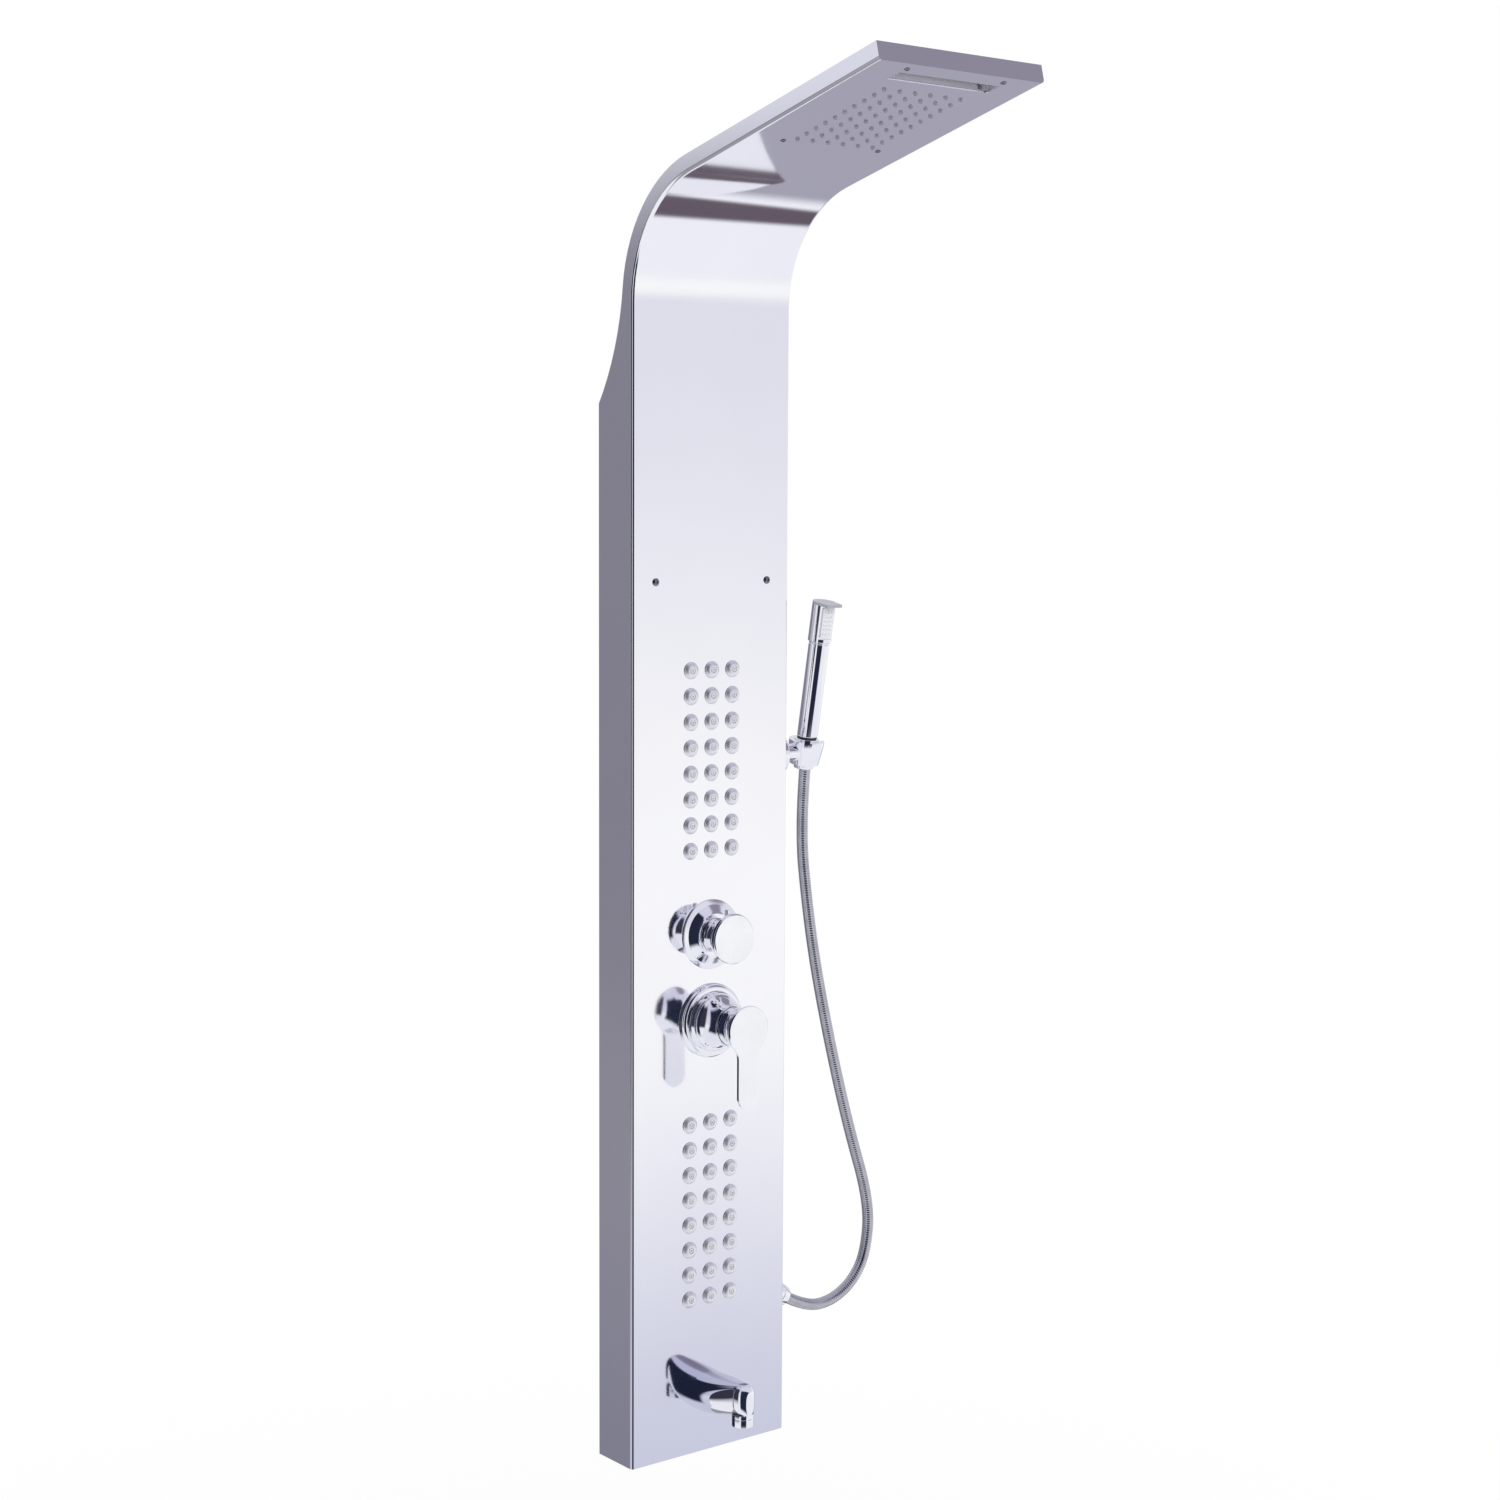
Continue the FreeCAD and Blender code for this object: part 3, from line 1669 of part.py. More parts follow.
def spout():
    level = S.spout_level
    nose_level = level + S.spout_rise
    nose = S.spout_nose_radius
    wide, high = S.spout_half_width, S.spout_half_height
    end_wide, end_high = nose - 0.2, nose - 0.3
    sections = [
        oval(
            f"spout_section_{i}",
            wide - (wide - end_wide) * narrowing,
            high - (high - end_high) * narrowing,
            face + S.spout_reach * along,
            level + S.spout_rise * lift,
        )
        for i, (along, narrowing, lift) in enumerate(SPOUT_SHAPE)
    ]
    loft = doc.addObject("Part::Loft", "spout_shell")
    loft.Sections = sections
    loft.Solid = True
    outlet_out = face + S.spout_outlet_out
    outlet_low = level - S.spout_outlet_drop
    tip = ball("spout_nose", nose, out_at(0, face + S.spout_reach, nose_level))
    collar = rod("spout_outlet", nose, nose_level - outlet_low, out_at(0, outlet_out, outlet_low), UP)
    shank_back = face - 14
    shank = rod(
        "spout_shank",
        S.spout_shank_radius,
        14 + S.spout_reach / 3,
        out_at(0, shank_back, level),
        OUTWARD,
    )
    way = rod(
        "spout_water_way", S.tube_bore, outlet_out - shank_back, out_at(0, shank_back, level), OUTWARD
    )
    down = rod(
        "spout_outlet_bore",
        S.aerator_radius + S.thread_gap,
        nose_level - outlet_low - 4,
        out_at(0, outlet_out, outlet_low),
        UP,
    )
    piece("spout", cut("spout", fuse("spout_solid", loft, tip, collar, shank), way, down))

    aerator_low = level - S.aerator_drop
    aerator_length = nose_level - 4 - aerator_low - 1
    aerator = rod(
        "aerator_barrel", S.aerator_radius, aerator_length, out_at(0, outlet_out, aerator_low), UP
    )
    mouth = rod("aerator_mouth", S.aerator_radius - 1.6, 2.5, out_at(0, outlet_out, aerator_low), UP)
    piece("spout_aerator", cut("spout_aerator", aerator, mouth))

    washer_out = skin_back - 2
    piece(
        "spout_washer",
        ring(
            "spout_washer",
            S.spout_shank_radius + 0.1,
            S.spout_nut_radius,
            2,
            out_at(0, washer_out, level),
            OUTWARD,
        ),
    )
    nut_out = washer_out - S.spout_nut_thickness
    nut = hex_nut(
        "spout_nut",
        S.spout_nut_radius,
        S.spout_shank_radius + S.thread_gap,
        S.spout_nut_thickness,
        out_at(0, nut_out, level),
        OUTWARD,
    )
    piece("spout_nut", nut)
    elbow_back = S.tube_out - S.stub_radius
    elbow = rod(
        "spout_elbow_barrel",
        S.stub_radius,
        shank_back - elbow_back,
        out_at(0, elbow_back, level),
        OUTWARD,
    )
    tail = rod(
        "spout_elbow_tail",
        tail_radius,
        S.stub_radius + S.tail_length,
        out_at(0, S.tube_out, level),
        LEFTWARD,
    )
    way_in = rod(
        "spout_elbow_way",
        S.tube_bore - 2,
        shank_back - S.tube_out,
        out_at(0, S.tube_out, level),
        OUTWARD,
    )
    piece("spout_elbow", cut("spout_elbow", fuse("spout_elbow_solid", elbow, tail), way_in))


# ---------------------------------------------------------------- handset holder and handset

holder_x = half_width + S.holder_reach
holder_at = (holder_x, -S.side_out, S.holder_level)
tilt_sin, tilt_cos = sine(S.holder_tilt), cosine(S.holder_tilt)


def up_handset(along, forward=0, across=0):
    """A point in the handset's tilted frame: along its axis from the centre of the socket."""
    return (
        holder_x + across,
        -S.side_out - along * tilt_sin - forward * tilt_cos,
        S.holder_level + along * tilt_cos - forward * tilt_sin,
    )


def holder():
    base_end = half_width + S.holder_base_thickness
    side = (half_width, -S.side_out, S.holder_level)
    radius = S.holder_base_radius
    thick = S.holder_base_thickness
    screw = S.holder_screw_radius
    base = turned(
        "holder_base",
        [
            (screw + S.thread_gap, 0),
            (radius, 0),
            (radius, thick - 4),
            (radius - 4, thick),
            (screw + S.thread_gap, thick),
        ],
        {2: (4.0, True)},
        side,
        SIDEWAYS,
    )
    piece("holder_base", base)

    half = S.socket_height / 2
    cone = turned(
        "socket_cone",
        [
            (S.socket_bore_bottom, -half),
            (S.socket_bottom_radius, -half),
            (S.socket_top_radius, half - 4),
            (S.socket_top_radius, half),
            (S.socket_bore_top, half),
        ],
        at=holder_at,
        turn=TILTED,
    )
    neck_start = base_end + S.fit_gap
    neck_length = holder_x - S.socket_bore_top - neck_start - 0.5
    neck = rod(
        "socket_neck",
        S.holder_neck_radius,
        neck_length,
        (neck_start, -S.side_out, S.holder_level),
        SIDEWAYS,
    )
    screw_depth = 8
    hole = rod(
        "socket_screw_hole",
        screw + S.running_gap,
        screw_depth + 1,
        (neck_start - 1, -S.side_out, S.holder_level),
        SIDEWAYS,
    )
    slot = block(
        "socket_slot_tool",
        S.socket_top_radius + 5,
        S.socket_slot,
        S.socket_height + 2,
        up_handset(-half - 1, S.socket_slot / 2),
        TILTED,
    )
    piece("holder_socket", cut("holder_socket", fuse("socket_solid", cone, neck), hole, slot))

    screw_start = inner_half - S.backnut_thickness - 1
    piece(
        "holder_screw",
        rod(
            "holder_screw",
            screw,
            neck_start + screw_depth - 0.5 - screw_start,
            (screw_start, -S.side_out, S.holder_level),
            SIDEWAYS,
        ),
    )
    nut = hex_nut(
        "holder_backnut", 2 * screw, screw + S.thread_gap, S.backnut_thickness, (
            inner_half - S.backnut_thickness, -S.side_out, S.holder_level
        ), SIDEWAYS
    )
    piece("holder_backnut", nut)


def handset():
    half = S.socket_height / 2
    slope = (S.socket_bore_top - S.socket_bore_bottom) / S.socket_height
    top_radius = S.socket_bore_top - S.fit_gap + slope * S.nut_above
    bottom_radius = S.socket_bore_bottom - S.fit_gap - slope * S.nut_below
    hose_hole = S.hose_radius + S.fit_gap
    nut_top = half + S.nut_above
    nut = turned(
        "hose_upper_nut",
        [
            (hose_hole, -half - S.nut_below),
            (bottom_radius, -half - S.nut_below),
            (top_radius, nut_top),
            (hose_hole, nut_top),
        ],
        at=holder_at,
        turn=TILTED,
    )
    piece("hose_upper_nut", nut)
    washer = ring(
        "handset_washer",
        hose_hole,
        S.handle_radius - 0.5,
        S.washer_thickness,
        up_handset(nut_top),
        TILTED,
    )
    piece("handset_washer", washer)

    handle_start = nut_top + S.washer_thickness
    radius = S.handle_radius
    length = S.handle_length
    handle = turned(
        "handset_handle",
        [
            (S.handle_bore, 0),
            (radius - 1, 0),
            (radius, 1),
            (radius, length),
            (0, length),
            (0, S.handle_bore_depth),
            (S.handle_bore, S.handle_bore_depth),
        ],
        at=up_handset(handle_start),
        turn=TILTED,
    )
    piece("handset_handle", handle)

    head_start = handle_start + length
    barrel = turned(
        "head_barrel",
        [
            (0, 0),
            (S.head_radius - 0.8, 0),
            (S.head_radius, 0.8),
            (S.head_radius, S.head_length),
            (0, S.head_length),
        ],
        at=up_handset(head_start),
        turn=TILTED,
    )
    plate_thick = S.spray_plate_thickness
    face_tool = block(
        "head_flat_tool",
        3 * S.head_radius,
        S.head_radius,
        S.head_length - 4,
        up_handset(head_start + 4, S.head_flat + S.head_radius, -1.5 * S.head_radius),
        TILTED,
    )
    piece("handset_head", cut("handset_head", barrel, face_tool))

    cap_start = head_start + S.head_length
    reach = S.cap_reach
    side = S.head_radius
    cap = sheet_piece(
        "handset_cap",
        [(side, 0), (side * 0.8, -reach), (-side * 0.8, -reach), (-side, 0)],
        S.cap_thickness,
        {3: (side + 0.001, False)},
        up_handset(cap_start),
        TILTED,
    )
    piece("handset_cap", cap)

    width = S.spray_plate_width
    tall = S.head_length - 8
    plate_low = head_start + 6
    plate = block(
        "spray_plate",
        width,
        plate_thick,
        tall,
        up_handset(plate_low, S.head_flat + plate_thick, -width / 2),
        TILTED,
    )
    rows = 6
    centres = [(4 * (i - 1), 4.5 * (j - (rows - 1) / 2)) for i in range(3) for j in range(rows)]
    forward = TILTED.multiply(OUTWARD)
    nubs = pegs(
        "spray_nubs",
        centres,
        0.9,
        plate_thick + 1,
        up_handset(plate_low + tall / 2, S.head_flat),
        forward,
    )
    piece("handset_spray_plate", fuse("handset_spray_plate", plate, nubs))


# ---------------------------------------------------------------- hose outlet on the right flange

slope_cos, slope_sin = cosine(S.outlet_angle), sine(S.outlet_angle)
outlet_x = half_width + S.outlet_centre


def down_outlet(along):
    """A point on the axis of the sloping spigot."""
    return (outlet_x + along * slope_cos, -S.side_out, S.outlet_level - along * slope_sin)


def hose_outlet():
    level = S.outlet_level
    neck = S.outlet_neck_radius
    inner = S.handset_tube_side - S.stub_radius
    barrel = rod("outlet_barrel", neck, outlet_x - inner, (inner, -S.side_out, level), SIDEWAYS)
    knuckle = ball("outlet_knuckle", neck, (outlet_x, -S.side_out, level))
    spigot = rod("outlet_spigot", neck, S.outlet_nut_start + 8, down_outlet(0), OUTLET_SLOPE)
    tail = rod(
        "outlet_tail", tail_radius, neck + S.tail_length, (S.handset_tube_side, -S.side_out, level), UP
    )
    collar = rod(
        "outlet_collar",
        S.outlet_collar_radius,
        S.outlet_collar_thickness,
        (half_width, -S.side_out, level),
        SIDEWAYS,
    )
    piece("hose_outlet", fuse("hose_outlet", barrel, collar, knuckle, spigot, tail))
    nut = hex_nut(
        "outlet_backnut", neck + 5, neck + S.thread_gap, S.backnut_thickness, (
            inner_half - S.backnut_thickness, -S.side_out, level
        ), SIDEWAYS
    )
    piece("outlet_backnut", nut)
    bore_end = 8.5
    length = S.outlet_nut_end - S.outlet_nut_start
    hose_nut = turned(
        "hose_lower_nut",
        [
            (neck + S.thread_gap, 0),
            (S.outlet_nut_radius, 0),
            (S.outlet_nut_radius, 6),
            (S.outlet_nut_tip, length),
            (0, length),
            (0, bore_end),
            (neck + S.thread_gap, bore_end),
        ],
        at=down_outlet(S.outlet_nut_start),
        turn=OUTLET_SLOPE,
    )
    piece("hose_lower_nut", hose_nut)


def point(at):
    return Vector(*(float(c) for c in at))


def shower_hose():
    points = [point(down_outlet(S.outlet_nut_end)), point(down_outlet(HOSE_FIRST_CORNER))]
    points += [Vector(*corner) for corner in HOSE_CORNERS]
    points += [point(up_handset(-HOSE_STRAIGHT_BELOW)), point(up_handset(S.hose_inside_handle))]
    radii = corner_radii(points, CORNER_SHARE)
    _, length = tube("shower_hose", points, radii, S.hose_radius)
    print("hose length", round(length, 1), "radii", [round(r) for r in radii])
    print("hose points", [tuple(round(c, 2) for c in p) for p in points])


# ---------------------------------------------------------------- supply tubes

def supply_tubes(upper_low, lower_high):
    """Soft tubes pushed over the tails: each runs from face to face of the parts that it joins."""
    outer, bore = S.tube_radius, S.tube_bore
    body_radius = S.diverter_body_radius
    level = S.diverter_level
    middle = (S.sheet_thickness + S.arm_thickness - S.cover_thickness) / 2
    bend = float(S.bend_radius + middle)
    channel_y = float(bend_centre[0]) + bend
    sharp = bend * math.tan(math.radians(float(S.bend_angle)) / 2)
    tail_start = level + body_radius
    lean_start = float(S.bend_height - S.tube_lean_start_below_bend)
    lean_end = float(S.bend_height - S.tube_lean_end_below_bend)
    for name, x in (("rain_tube", -S.tube_spread), ("waterfall_tube", S.tube_spread)):
        points = [
            point(out_at(x, S.tube_out, tail_start)),
            Vector(float(x), -float(S.tube_out), lean_start),
            Vector(float(x), channel_y, lean_end),
            Vector(float(x), channel_y, float(S.bend_height) + sharp),
            point(in_arm(S.chamber_start, middle, x)),
        ]
        radii = corner_radii(points, CORNER_SHARE)
        radii[2] = bend
        tube(name, points, radii, outer, bore)

    jet_x = -S.jet_tube_side
    tee_half = 2 * tail_radius
    tube(
        "upper_jet_tube",
        [
            point(out_at(jet_x, manifold_middle, level + tee_half / 2 + 1)),
            point(out_at(jet_x, manifold_middle, upper_low)),
        ],
        [],
        outer,
        bore,
    )
    tube(
        "lower_jet_tube",
        [
            point(out_at(jet_x, manifold_middle, level - tee_half / 2 - 1)),
            point(out_at(jet_x, manifold_middle, lower_high)),
        ],
        [],
        outer,
        bore,
    )
    spout_x = -S.spout_tube_side
    spout_points = [
        point(out_at(-body_radius, S.tube_out, level - 11)),
        point(out_at(spout_x, S.tube_out, level - 11)),
        point(out_at(spout_x, S.tube_out, S.spout_level)),
        point(out_at(-S.stub_radius, S.tube_out, S.spout_level)),
    ]
    tube("spout_tube", spout_points, [25.0, 25.0], outer, bore)
    hand_x = S.handset_tube_side
    hand_points = [
        point(out_at(body_radius, S.side_out, level)),
        point(out_at(hand_x, S.side_out, level)),
        point(out_at(hand_x, S.side_out, S.outlet_level + S.outlet_neck_radius)),
    ]
    tube("handset_tube", hand_points, [25.0], outer, bore)


def tube_clips(upper_low, upper_high):
    """Two saddles on the upper manifold's back that hold the rain and waterfall tubes."""
    half = S.tube_spread + S.tube_radius + 4
    back = S.tube_out - S.tube_radius - 2
    blocks = [
        block(
            f"clip_block_{i}",
            2 * half,
            manifold_back - back,
            S.clip_height,
            out_at(-half, manifold_back, z - S.clip_height / 2),
        )
        for i, z in enumerate((upper_low + 50, upper_high - 50))
    ]
    bores = [
        rod(
            f"clip_bore_{i}",
            S.tube_radius + S.thread_gap,
            upper_high - upper_low,
            out_at(x, S.tube_out, upper_low),
            UP,
        )
        for i, x in enumerate((-S.tube_spread, S.tube_spread))
    ]
    return piece("tube_clips", cut("tube_clips", fuse("clip_blocks", *blocks), *bores))


def check_and_write():
    """Stops on any failed object or bad shape, then writes one file for each piece."""
    doc.recompute()
    for thing in doc.Objects:
        if "Invalid" in thing.State or "Error" in thing.State:
            raise RuntimeError(f"{thing.Name} failed to build: {thing.State}")
    for name, thing in PIECES.items():
        shape = thing.Shape
        if shape.isNull() or not shape.isValid() or not shape.Solids:
            raise RuntimeError(f"{name} has no valid solid")
    os.makedirs("parts", exist_ok=True)
    for name, thing in PIECES.items():
        thing.Shape.exportStep(f"parts/{name}.step")
        print(f"{name}: {len(thing.Shape.Solids)} solid(s), {thing.Shape.Volume:.0f} mm3")


front_panel()
top_cover()
rain_nozzle_mat()
rain_chamber()
chamber_lid()
waterfall_ramp()
head_screws()
wall_bracket_upper()
wall_bracket_lower()
fixing_screws()
upper_low, upper_high = jet_pieces("upper", S.upper_jets_bottom, False)
lower_low, lower_high = jet_pieces("lower", S.lower_jets_bottom, True)
diverter()
mixer()
spout()
holder()
handset()
hose_outlet()
shower_hose()
supply_tubes(upper_low, lower_high)
tube_clips(upper_low, upper_high)
check_and_write()
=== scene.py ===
import math

import bmesh
import bpy
from mathutils import Matrix, Vector


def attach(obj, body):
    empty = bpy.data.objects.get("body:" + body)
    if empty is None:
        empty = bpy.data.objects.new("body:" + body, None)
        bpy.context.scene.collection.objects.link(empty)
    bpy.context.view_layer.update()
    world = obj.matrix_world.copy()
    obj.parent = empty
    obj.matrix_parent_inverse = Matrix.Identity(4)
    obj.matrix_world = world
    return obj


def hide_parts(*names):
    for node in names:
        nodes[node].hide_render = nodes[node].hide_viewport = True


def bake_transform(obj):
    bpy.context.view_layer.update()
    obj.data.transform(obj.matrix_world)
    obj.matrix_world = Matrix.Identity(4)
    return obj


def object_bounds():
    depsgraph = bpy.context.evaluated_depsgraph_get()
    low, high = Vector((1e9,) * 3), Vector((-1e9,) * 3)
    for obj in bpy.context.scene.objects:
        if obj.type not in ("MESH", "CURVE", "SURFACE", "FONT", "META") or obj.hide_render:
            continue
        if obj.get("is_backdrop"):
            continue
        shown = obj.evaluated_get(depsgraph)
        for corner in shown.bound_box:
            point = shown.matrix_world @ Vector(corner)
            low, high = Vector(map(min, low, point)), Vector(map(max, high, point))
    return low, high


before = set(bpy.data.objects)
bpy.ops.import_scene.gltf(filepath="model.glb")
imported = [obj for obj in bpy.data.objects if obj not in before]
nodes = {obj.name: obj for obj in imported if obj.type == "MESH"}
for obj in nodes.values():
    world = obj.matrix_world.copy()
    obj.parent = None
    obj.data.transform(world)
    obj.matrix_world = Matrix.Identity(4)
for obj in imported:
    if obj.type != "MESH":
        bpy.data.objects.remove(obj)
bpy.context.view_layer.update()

# ---- The camera -------------------------------------------------------------------------
# It stands left of the column, a little below the middle of its height, and looks slightly
# down. Its place and lens were worked out from the panel's straight edges.
camera_right = Vector((0.78509041, -0.61936003, 0.00511819))
camera_up = Vector((0.0567757, 0.08019162, 0.99516121))
camera_back = Vector((-0.61677351, -0.78100093, 0.09812227))
camera_data = bpy.data.cameras.new("camera")
camera_data.lens = 61.67
camera_data.sensor_width = 36.0
camera_data.clip_end = 50.0
camera = bpy.data.objects.new("camera", camera_data)
camera.matrix_world = Matrix.Translation((-1.593687, -2.139611, 0.997806)) @ Matrix(
    (camera_right, camera_up, camera_back)
).transposed().to_4x4()
bpy.context.scene.collection.objects.link(camera)
bpy.context.scene.camera = camera
bpy.context.scene.view_settings.view_transform = "Standard"

# ---- The studio -------------------------------------------------------------------------
# A painted room, white on the right and grey-violet on the left, with two tall dark gaps
# and a pale floor: the polished steel mirrors it. The camera itself sees plain white.
world = bpy.data.worlds.new("studio")
bpy.context.scene.world = world
world.use_nodes = True
world_nodes, world_links = world.node_tree.nodes, world.node_tree.links
world_nodes.clear()


def add_node(tree_nodes, kind, **values):
    """A shader node with its plain settings and its unlinked inputs set."""
    node = tree_nodes.new(kind)
    for name, value in values.items():
        if hasattr(node, name):
            setattr(node, name, value)
        else:
            node.inputs[name.replace("_", " ")].default_value = value
    return node


def math_node(tree, operation, first, second):
    """A Math node. Its two inputs are numbers or other nodes' sockets."""
    node = tree.nodes.new("ShaderNodeMath")
    node.operation = operation
    for socket, value in zip(node.inputs, (first, second)):
        if isinstance(value, bpy.types.NodeSocket):
            tree.links.new(value, socket)
        else:
            socket.default_value = value
    return node.outputs[0]


def smooth_step(tree, value, low, high):
    """0 below low, 1 above high, and a smooth rise between them."""
    node = add_node(
        tree.nodes, "ShaderNodeMapRange", interpolation_type="SMOOTHSTEP", From_Min=low, From_Max=high
    )
    tree.links.new(value, node.inputs["Value"])
    return node.outputs["Result"]


def mix_colors(tree, factor, first, second):
    """A Mix node of two colours. Each is a colour or another node's socket."""
    node = tree.nodes.new("ShaderNodeMix")
    node.data_type = "RGBA"
    factor_in, first_in, second_in = (node.inputs[k] for k in (0, 6, 7))
    for socket, value in ((factor_in, factor), (first_in, first), (second_in, second)):
        if isinstance(value, bpy.types.NodeSocket):
            tree.links.new(value, socket)
        elif socket == factor_in:
            socket.default_value = value
        else:
            socket.default_value = (*value, 1.0)
    return node.outputs[2]


def band(tree, value, low, high, soft):
    """1 between low and high, with soft ends."""
    rise = smooth_step(tree, value, low - soft, low + soft)
    fall = smooth_step(tree, value, high - soft, high + soft)
    return math_node(tree, "MULTIPLY", rise, math_node(tree, "SUBTRACT", 1.0, fall))


def toward(tree, direction, axis):
    """How far the direction points along the axis: 1 when they are the same."""
    dot = add_node(tree.nodes, "ShaderNodeVectorMath", operation="DOT_PRODUCT")
    tree.links.new(direction, dot.inputs[0])
    dot.inputs[1].default_value = Vector(axis).normalized()
    return dot.outputs["Value"]


def wall_color(tree, height, lowest, changes):
    """The lowest colour, which changes to each next one between two heights."""
    color = lowest
    for low, high, next_color in changes:
        color = mix_colors(tree, smooth_step(tree, height, low, high), color, next_color)
    return color


room = world.node_tree
direction = add_node(world_nodes, "ShaderNodeTexCoord").outputs["Generated"]
parts = add_node(world_nodes, "ShaderNodeSeparateXYZ")
world_links.new(direction, parts.inputs[0])
height = parts.outputs[2]
to_the_right, to_the_camera = (0.785, -0.62, 0.0), (-0.62, -0.785, 0.0)
turn = math_node(
    room, "ARCTAN2", toward(room, direction, to_the_right), toward(room, direction, to_the_camera)
)
room_color = wall_color(
    room,
    height,
    (0.90, 0.905, 0.955),
    (
        (-0.36, -0.14, (1.0, 1.0, 1.0)),
        (-0.16, 0.08, (0.78, 0.775, 0.86)),
        (0.30, 0.60, (0.70, 0.69, 0.83)),
    ),
)
# Round grey patches: the way to their middle, and the degrees where they are full and gone.
for axis, full, gone, patch_color in (
    ((0.62, 0.64, -0.45), 20.0, 31.0, (0.385, 0.375, 0.455)),
    ((0.594, -0.01, -0.805), 6.0, 12.0, (0.132, 0.105, 0.135)),
    ((0.67, -0.56, 0.485), 12.0, 20.0, (0.28, 0.255, 0.33)),
):
    nearness = toward(room, direction, axis)
    patch = smooth_step(room, nearness, math.cos(math.radians(gone)), math.cos(math.radians(full)))
    room_color = mix_colors(room, patch, room_color, patch_color)
left_wall = wall_color(
    room,
    height,
    (0.33, 0.32, 0.36),
    ((-0.38, -0.12, (0.235, 0.225, 0.275)), (0.08, 0.16, (0.74, 0.745, 0.83))),
)
on_the_left = band(room, turn, low=-2.8, high=-1.58, soft=0.10)
room_color = mix_colors(room, on_the_left, room_color, left_wall)
# The dark gaps: their turn away from the camera in radians, and their lower and upper end.
for left, right, bottom, top, gap_color in (
    (-1.50, -0.58, -0.30, 0.90, (0.035, 0.036, 0.06)),
    (-0.30, 0.68, -0.50, 0.78, (0.018, 0.022, 0.048)),
):
    sideways = band(room, turn, left, right, soft=0.06)
    upright = band(room, height, bottom, top, soft=0.10)
    gap = math_node(room, "MULTIPLY", sideways, upright)
    room_color = mix_colors(room, gap, room_color, gap_color)
seen = add_node(world_nodes, "ShaderNodeLightPath")
mirrored = add_node(world_nodes, "ShaderNodeBackground", Strength=1.0)
soft_light = add_node(world_nodes, "ShaderNodeBackground", Color=(1.0, 1.0, 1.0, 1.0), Strength=0.62)
white = add_node(world_nodes, "ShaderNodeBackground", Color=(1.0, 1.0, 1.0, 1.0), Strength=1.0)
world_links.new(room_color, mirrored.inputs["Color"])
glossy_or_light = add_node(world_nodes, "ShaderNodeMixShader")
world_links.new(seen.outputs["Is Glossy Ray"], glossy_or_light.inputs[0])
world_links.new(soft_light.outputs[0], glossy_or_light.inputs[1])
world_links.new(mirrored.outputs[0], glossy_or_light.inputs[2])
camera_or_rest = add_node(world_nodes, "ShaderNodeMixShader")
world_links.new(
    math_node(room, "MAXIMUM", seen.outputs["Is Camera Ray"], seen.outputs["Is Transmission Ray"]),
    camera_or_rest.inputs[0],
)
world_links.new(glossy_or_light.outputs[0], camera_or_rest.inputs[1])
world_links.new(white.outputs[0], camera_or_rest.inputs[2])
world_out = add_node(world_nodes, "ShaderNodeOutputWorld")
world_links.new(camera_or_rest.outputs[0], world_out.inputs["Surface"])


def soft_box(name, place, aim, size, power):
    """A square area lamp that faces the point that it is aimed at."""
    lamp_data = bpy.data.lights.new(name, "AREA")
    lamp_data.shape = "SQUARE"
    lamp_data.size = size
    lamp_data.energy = power
    lamp = bpy.data.objects.new(name, lamp_data)
    lamp.visible_glossy = False
    lamp.location = place
    lamp.rotation_euler = (Vector(aim) - Vector(place)).to_track_quat("-Z", "Y").to_euler()
    bpy.context.scene.collection.objects.link(lamp)


soft_box("key_box", place=(-1.9, -2.4, 2.6), aim=(0.0, -0.1, 0.8), size=1.6, power=38)
soft_box("side_box", place=(2.6, -1.4, 1.7), aim=(0.0, -0.1, 0.7), size=1.4, power=26)

# The floor is pale to the light, white to the camera, and left out of what the steel mirrors
# and of a view from below.
floor_height = -0.45
floor_reach = 6.0
floor_mesh = bpy.data.meshes.new("floor")
floor_corners = [
    (side * floor_reach, end * floor_reach, floor_height)
    for side, end in ((-1, -1), (1, -1), (1, 1), (-1, 1))
]
floor_mesh.from_pydata(floor_corners, [], [(0, 1, 2, 3)])
floor = bpy.data.objects.new("floor", floor_mesh)
bpy.context.scene.collection.objects.link(floor)
floor_paint = bpy.data.materials.new("floor_paint")
floor_paint.use_nodes = True
floor_tree = floor_paint.node_tree
floor_tree.nodes.clear()
pale = add_node(floor_tree.nodes, "ShaderNodeBsdfDiffuse", Color=(0.80, 0.81, 0.85, 1.0))
plain_white = add_node(floor_tree.nodes, "ShaderNodeEmission", Color=(1.0, 1.0, 1.0, 1.0), Strength=1.0)
see_through = add_node(floor_tree.nodes, "ShaderNodeBsdfTransparent")
floor_seen = add_node(floor_tree.nodes, "ShaderNodeLightPath")
floor_place = add_node(floor_tree.nodes, "ShaderNodeTexCoord").outputs["Object"]
from_middle = add_node(floor_tree.nodes, "ShaderNodeVectorMath", operation="LENGTH")
floor_tree.links.new(floor_place, from_middle.inputs[0])
whiteness = add_node(
    floor_tree.nodes, "ShaderNodeMapRange", From_Min=0.3, From_Max=1.8, To_Min=0.92, To_Max=1.0
)
floor_tree.links.new(from_middle.outputs["Value"], whiteness.inputs["Value"])
to_camera = add_node(floor_tree.nodes, "ShaderNodeMixShader")
floor_tree.links.new(
    math_node(floor_tree, "MULTIPLY", floor_seen.outputs["Is Camera Ray"], whiteness.outputs["Result"]),
    to_camera.inputs[0],
)
floor_tree.links.new(pale.outputs[0], to_camera.inputs[1])
floor_tree.links.new(plain_white.outputs[0], to_camera.inputs[2])
to_mirror = add_node(floor_tree.nodes, "ShaderNodeMixShader")
from_below = floor_tree.nodes.new("ShaderNodeNewGeometry").outputs["Backfacing"]
